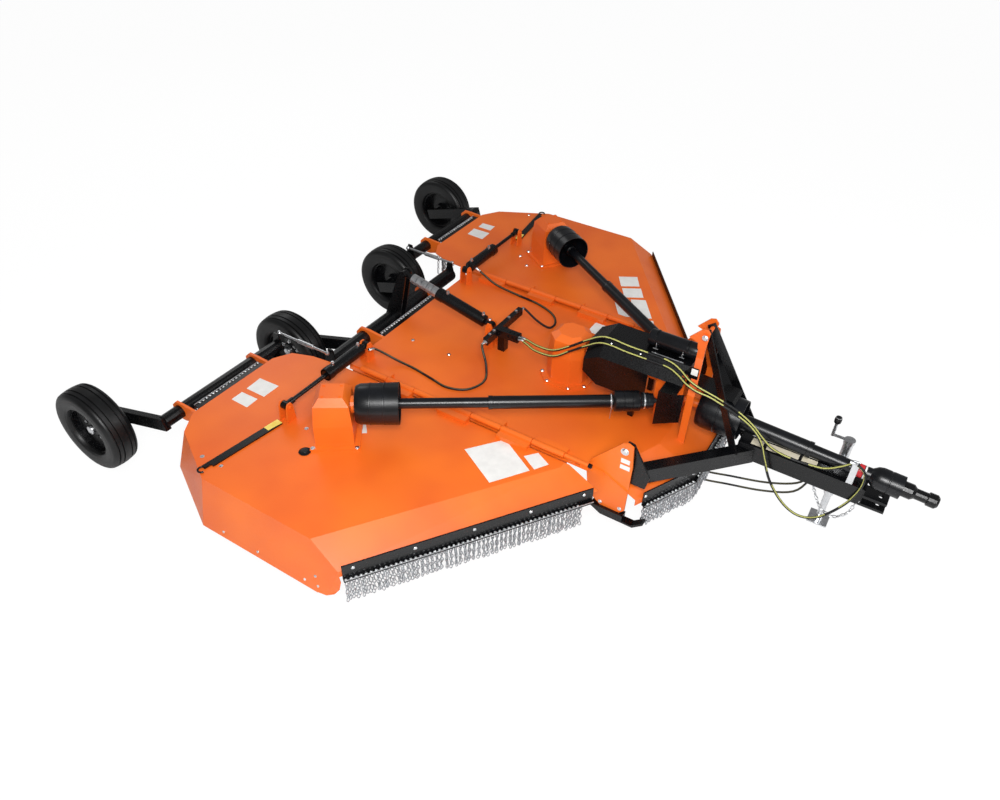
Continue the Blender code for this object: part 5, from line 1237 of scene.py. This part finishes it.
class CUTTER_OT_skirt_runners(bpy.types.Operator):
    """Adds the steel runners along the bottom of the wings' outer sides; their faint violet grey is a painted
    reflection of the floor
    """
    bl_idname = "cutter.skirt_runners"
    bl_label = "Skirt Runners"

    def execute(self, context):
        for side, hand in SIDES:
            outer, z0, z1 = 2.3855, 0.2205, 0.250
            ring = [(outer - 0.012, z0), (outer, z0), (outer - 0.0085, z1), (outer - 0.0205, z1)]
            rows = [[at(x, back, z) for x, z in ring] for back in (-0.560, -1.560)]
            bar = softened(loft(rows), 0.001)
            outline = [(2.3319, -1.698, 0.450), (2.3748, -1.648, 0.280), (2.3885, -1.560, 0.221),
                       (2.380, -1.625, 0.226), (2.358, -1.672, 0.246), (2.334, -1.696, 0.280),
                       (2.322, -1.704, 0.340)]
            shape = slab([at(*spot) for spot in outline], (-1, 0.6, 0), 0.004)
            piece(f"{hand}_skirt_nose", on_side(shape, side), "orange_enamel", f"{hand}_wing")
            # The runner's violet-grey finish is a painted reflection of the pale floor
            piece(f"{hand}_skirt_runner", on_side(bar, side), "painted_reflection_steel", f"{hand}_wing")
        return {"FINISHED"}


class CUTTER_OT_small_chains(bpy.types.Operator):
    """Hangs the safety chain at the hitch and the small chains that hold the shaft guards"""
    bl_idname = "cutter.small_chains"
    bl_label = "Small Chains"

    def execute(self, context):
        tree = chain_tree()
        safety = [at(*stop) for stop in (
            (-0.068, -4.190, 0.500), (-0.085, -4.160, 0.380), (-0.080, -4.080, 0.300),
            (-0.060, -3.990, 0.330), (-0.050, -3.930, 0.420), (-0.060, -3.900, 0.492))]
        made = grown(tree, path_mesh([smooth_path(safety, 8)]), {
            "Link Pitch": 0.030, "Link Length": 0.040, "Link Width": 0.026, "Wire": 0.008,
            "Finish": FINISH["zinc_plate"]})
        piece("safety_chain", made, "zinc_plate", "centre")
        start, away, _ = left_drive_line()
        for side, hand in SIDES:
            foot, across = start + away * 0.350, Vector((away.y, -away.x, 0))
            drop = ((0.0, 0.056), (0.046, 0.036), (0.058, -0.010), (0.052, -0.060), (0.044, -0.115))
            path = smooth_path([foot + across * out + Vector((0, 0, z)) for out, z in drop], 6)
            path = [Vector((p.x * side, p.y, p.z)) for p in path]
            made = grown(tree, path_mesh([path]), {
                "Link Pitch": 0.0125, "Link Length": 0.017, "Link Width": 0.010, "Wire": 0.0028,
                "Finish": FINISH["zinc_plate"]})
            piece(f"{hand}_guard_tie", made, "zinc_plate", f"{hand}_drive_outer")
        return {"FINISHED"}


class CUTTER_OT_jack_trim(bpy.types.Operator):
    """Puts the black knob on the jack's crank, and the plated shell on its tube"""
    bl_idname = "cutter.jack_trim"
    bl_label = "Jack Trim"

    def execute(self, context):
        foot = at(0.180, -4.010 + 0.120 - 0.007, 0.758 + 0.104)
        knob = [(0, 0.014), (0.003, 0.0218), (0.012, 0.0235), (0.034, 0.0235), (0.044, 0.020), (0.049, 0.012)]
        piece("crank_knob", turned(foot, (0, 0, 1), knob, 28), "black_polyethylene", "jack_body")
        walls = [(0, 0.0325), (0.470, 0.0325), (0.470, 0.026), (0, 0.026)]
        tube = turned(at(0.180, -4.010, 0.262), (0, 0, 1), walls, 40, closed=True)
        piece("jack_tube_shell", tube, "zinc_plate", "jack_body")
        return {"FINISHED"}


class CUTTER_OT_manifold_trim(bpy.types.Operator):
    """Adds the caps, plugs and ring nuts of the hose manifold"""
    bl_idname = "cutter.manifold_trim"
    bl_label = "Manifold Trim"

    def execute(self, context):
        z, back = 0.796, -1.410
        end_cap = [(-0.004, 0.020), (0.006, 0.020), (0.010, 0.015)]
        plug = [(0, 0.013), (0.010, 0.013), (0.014, 0.008)]
        caps = [turned(at(side * 0.262, back, z), (side, 0, 0), end_cap, 6) for side in (-1, 1)]
        caps += [turned(at(x, back, z + 0.030), (0, 0, 1), plug, 6) for x in (-0.200, -0.140, 0.080, 0.190)]
        piece("manifold_plugs", joined(caps), "zinc_plate", "centre")
        rings = [hoop(at(-0.090, back, 0.806), (0, -1, 0), 0.030, 0.036, 0.012, 24)
                 for back in (-1.520, -1.555, -1.590)]
        piece("manifold_rings", joined(rings), "black_enamel", "centre")
        return {"FINISHED"}


class CUTTER_OT_finishes(bpy.types.Operator):
    """Gives every solid of the frame the finish of its material"""
    bl_idname = "cutter.finishes"
    bl_label = "Finishes"

    def execute(self, context):
        make_finishes(context.scene.cutter_paint)
        for node in NODES.values():
            for slot in node.material_slots:
                name = slot.material.name.split(".")[0] if slot.material else ""
                if name not in FINISH:
                    raise RuntimeError(f"{node.name} has no finish for {name!r}")
                slot.material = FINISH[name]
        return {"FINISHED"}


class CUTTER_OT_stage(bpy.types.Operator):
    """Sets up the floor, the world, the lamps and the camera"""
    bl_idname = "cutter.stage"
    bl_label = "Stage"

    def execute(self, context):
        scene, sizes = context.scene, context.scene.cutter_stage
        scene.view_settings.view_transform = "Standard"
        self.floor()
        self.world(scene, sizes.fill)
        self.lamp("near_key", (-4.9, -2.6, 5.2), (-0.6, 0.2, 0.4), 2.4, sizes.key)
        self.lamp("front_fill", (2.4, -7.0, 4.6), (0.0, -1.0, 0.5), 3.0, sizes.key * 0.30)
        self.lamp("rear_rim", (3.5, 7.5, 5.5), (0.0, 1.0, 0.4), 3.0, sizes.key * 0.10)
        camera = bpy.data.cameras.new("camera")
        camera.sensor_width, camera.lens = 36.0, 28.52
        camera.clip_end = 200.0
        holder = bpy.data.objects.new("camera", camera)
        scene.collection.objects.link(holder)
        yaw, pitch, roll = 1.0371, -0.685, 0.0339
        ahead = Vector((math.sin(yaw) * math.cos(pitch), math.cos(yaw) * math.cos(pitch), math.sin(pitch)))
        right = Vector((math.cos(yaw), -math.sin(yaw), 0.0))
        up = right.cross(ahead)
        across = math.cos(roll) * right + math.sin(roll) * up
        above = -math.sin(roll) * right + math.cos(roll) * up
        turn = Matrix((across, above, -ahead)).transposed().to_4x4()
        holder.matrix_world = Matrix.Translation((-4.4204, -2.2344, 4.2421)) @ turn
        scene.camera = holder
        return {"FINISHED"}

    def floor(self):
        data = bpy.data.meshes.new("floor")
        reach = 40.0
        data.from_pydata([(-reach, -reach, 0), (reach, -reach, 0), (reach, reach, 0), (-reach, reach, 0)], [],
                         [(0, 1, 2, 3)])
        finish = bpy.data.materials.new("white_studio_floor")
        finish.use_nodes = True
        tree = finish.node_tree
        tree.nodes.clear()
        # A pale matt floor for the light; to the eye it is near white and keeps a soft shadow
        pale = add(tree, "ShaderNodeBsdfDiffuse", {"Color": linear("#E6E6E6")})
        soft = add(tree, "ShaderNodeBsdfDiffuse", {"Color": linear("#5A5A5A")})
        glow = add(tree, "ShaderNodeEmission", {"Color": (1.0, 1.0, 1.0, 1.0), "Strength": 0.93})
        seen = add(tree, "ShaderNodeAddShader", {0: soft, 1: glow})
        rays = self.seen_rays(tree)
        mix = add(tree, "ShaderNodeMixShader", {0: rays, 1: pale, 2: seen})
        add(tree, "ShaderNodeOutputMaterial", {"Surface": mix})
        data.materials.append(finish)
        item = bpy.data.objects.new("floor", data)
        bpy.context.scene.collection.objects.link(item)

    def seen_rays(self, tree):
        """Camera and transmission rays, which see the white background."""
        path = add(tree, "ShaderNodeLightPath")
        return add(tree, "ShaderNodeMath",
                   {0: path.outputs["Is Camera Ray"], 1: path.outputs["Is Transmission Ray"]},
                   operation="MAXIMUM").outputs[0]

    def world(self, scene, strength):
        world = bpy.data.worlds.new("white_studio")
        scene.world = world
        world.use_nodes = True
        tree = world.node_tree
        tree.nodes.clear()
        # Paint and rubber mirror a dimmer room than the one that lights them, as under studio lamps
        glossy = add(tree, "ShaderNodeLightPath").outputs["Is Glossy Ray"]
        level = add(tree, "ShaderNodeMapRange", {0: glossy, 3: strength, 4: strength * 0.45})
        light = add(tree, "ShaderNodeBackground", {"Color": (1.0, 1.0, 1.0, 1.0), "Strength": level})
        white = add(tree, "ShaderNodeBackground", {"Color": (1.0, 1.0, 1.0, 1.0), "Strength": 1.0})
        mix = add(tree, "ShaderNodeMixShader",
                  {0: self.seen_rays(tree), 1: light, 2: white})
        add(tree, "ShaderNodeOutputWorld", {"Surface": mix})

    def lamp(self, name, place, target, size, power):
        light = bpy.data.lights.new(name, "AREA")
        light.shape = "DISK"
        light.size = size
        light.energy = power
        item = bpy.data.objects.new(name, light)
        item.location = place
        item.rotation_euler = (Vector(target) - Vector(place)).to_track_quat("-Z", "Y").to_euler()
        bpy.context.scene.collection.objects.link(item)


STEPS = (
    CUTTER_OT_stage, CUTTER_OT_finishes, CUTTER_OT_chain_guards, CUTTER_OT_tyres, CUTTER_OT_wheel_hubs,
    CUTTER_OT_drive_shafts, CUTTER_OT_hoses, CUTTER_OT_cylinders, CUTTER_OT_fasteners, CUTTER_OT_labels,
    CUTTER_OT_mast_trim, CUTTER_OT_cover_trim, CUTTER_OT_hinge_lines, CUTTER_OT_lock_bar_trim,
    CUTTER_OT_skirt_runners, CUTTER_OT_small_chains, CUTTER_OT_jack_trim, CUTTER_OT_manifold_trim,
)
SETTINGS = {
    "cutter_paint": PaintSettings, "cutter_chain": ChainSettings, "cutter_tyre": TyreSettings,
    "cutter_hose": HoseSettings, "cutter_stage": StageSettings,
}


class CUTTER_PT_panel(bpy.types.Panel):
    """Lists the steps that dress the cutter"""
    bl_idname = "CUTTER_PT_panel"
    bl_label = "Rotary Cutter"
    bl_space_type = "VIEW_3D"
    bl_region_type = "UI"
    bl_category = "Rotary Cutter"

    def draw(self, context):
        for step in STEPS:
            self.layout.operator(step.bl_idname)


def register():
    for kind in (*SETTINGS.values(), *STEPS, CUTTER_PT_panel):
        bpy.utils.register_class(kind)
    for name, kind in SETTINGS.items():
        setattr(bpy.types.Scene, name, PointerProperty(type=kind))


def unregister():
    for name in SETTINGS:
        delattr(bpy.types.Scene, name)
    for kind in (CUTTER_PT_panel, *reversed(STEPS), *reversed(SETTINGS.values())):
        bpy.utils.unregister_class(kind)


def main():
    register()
    for step in STEPS:
        group, name = step.bl_idname.split(".")
        getattr(getattr(bpy.ops, group), name)()


if __name__ == "__main__":
    main()
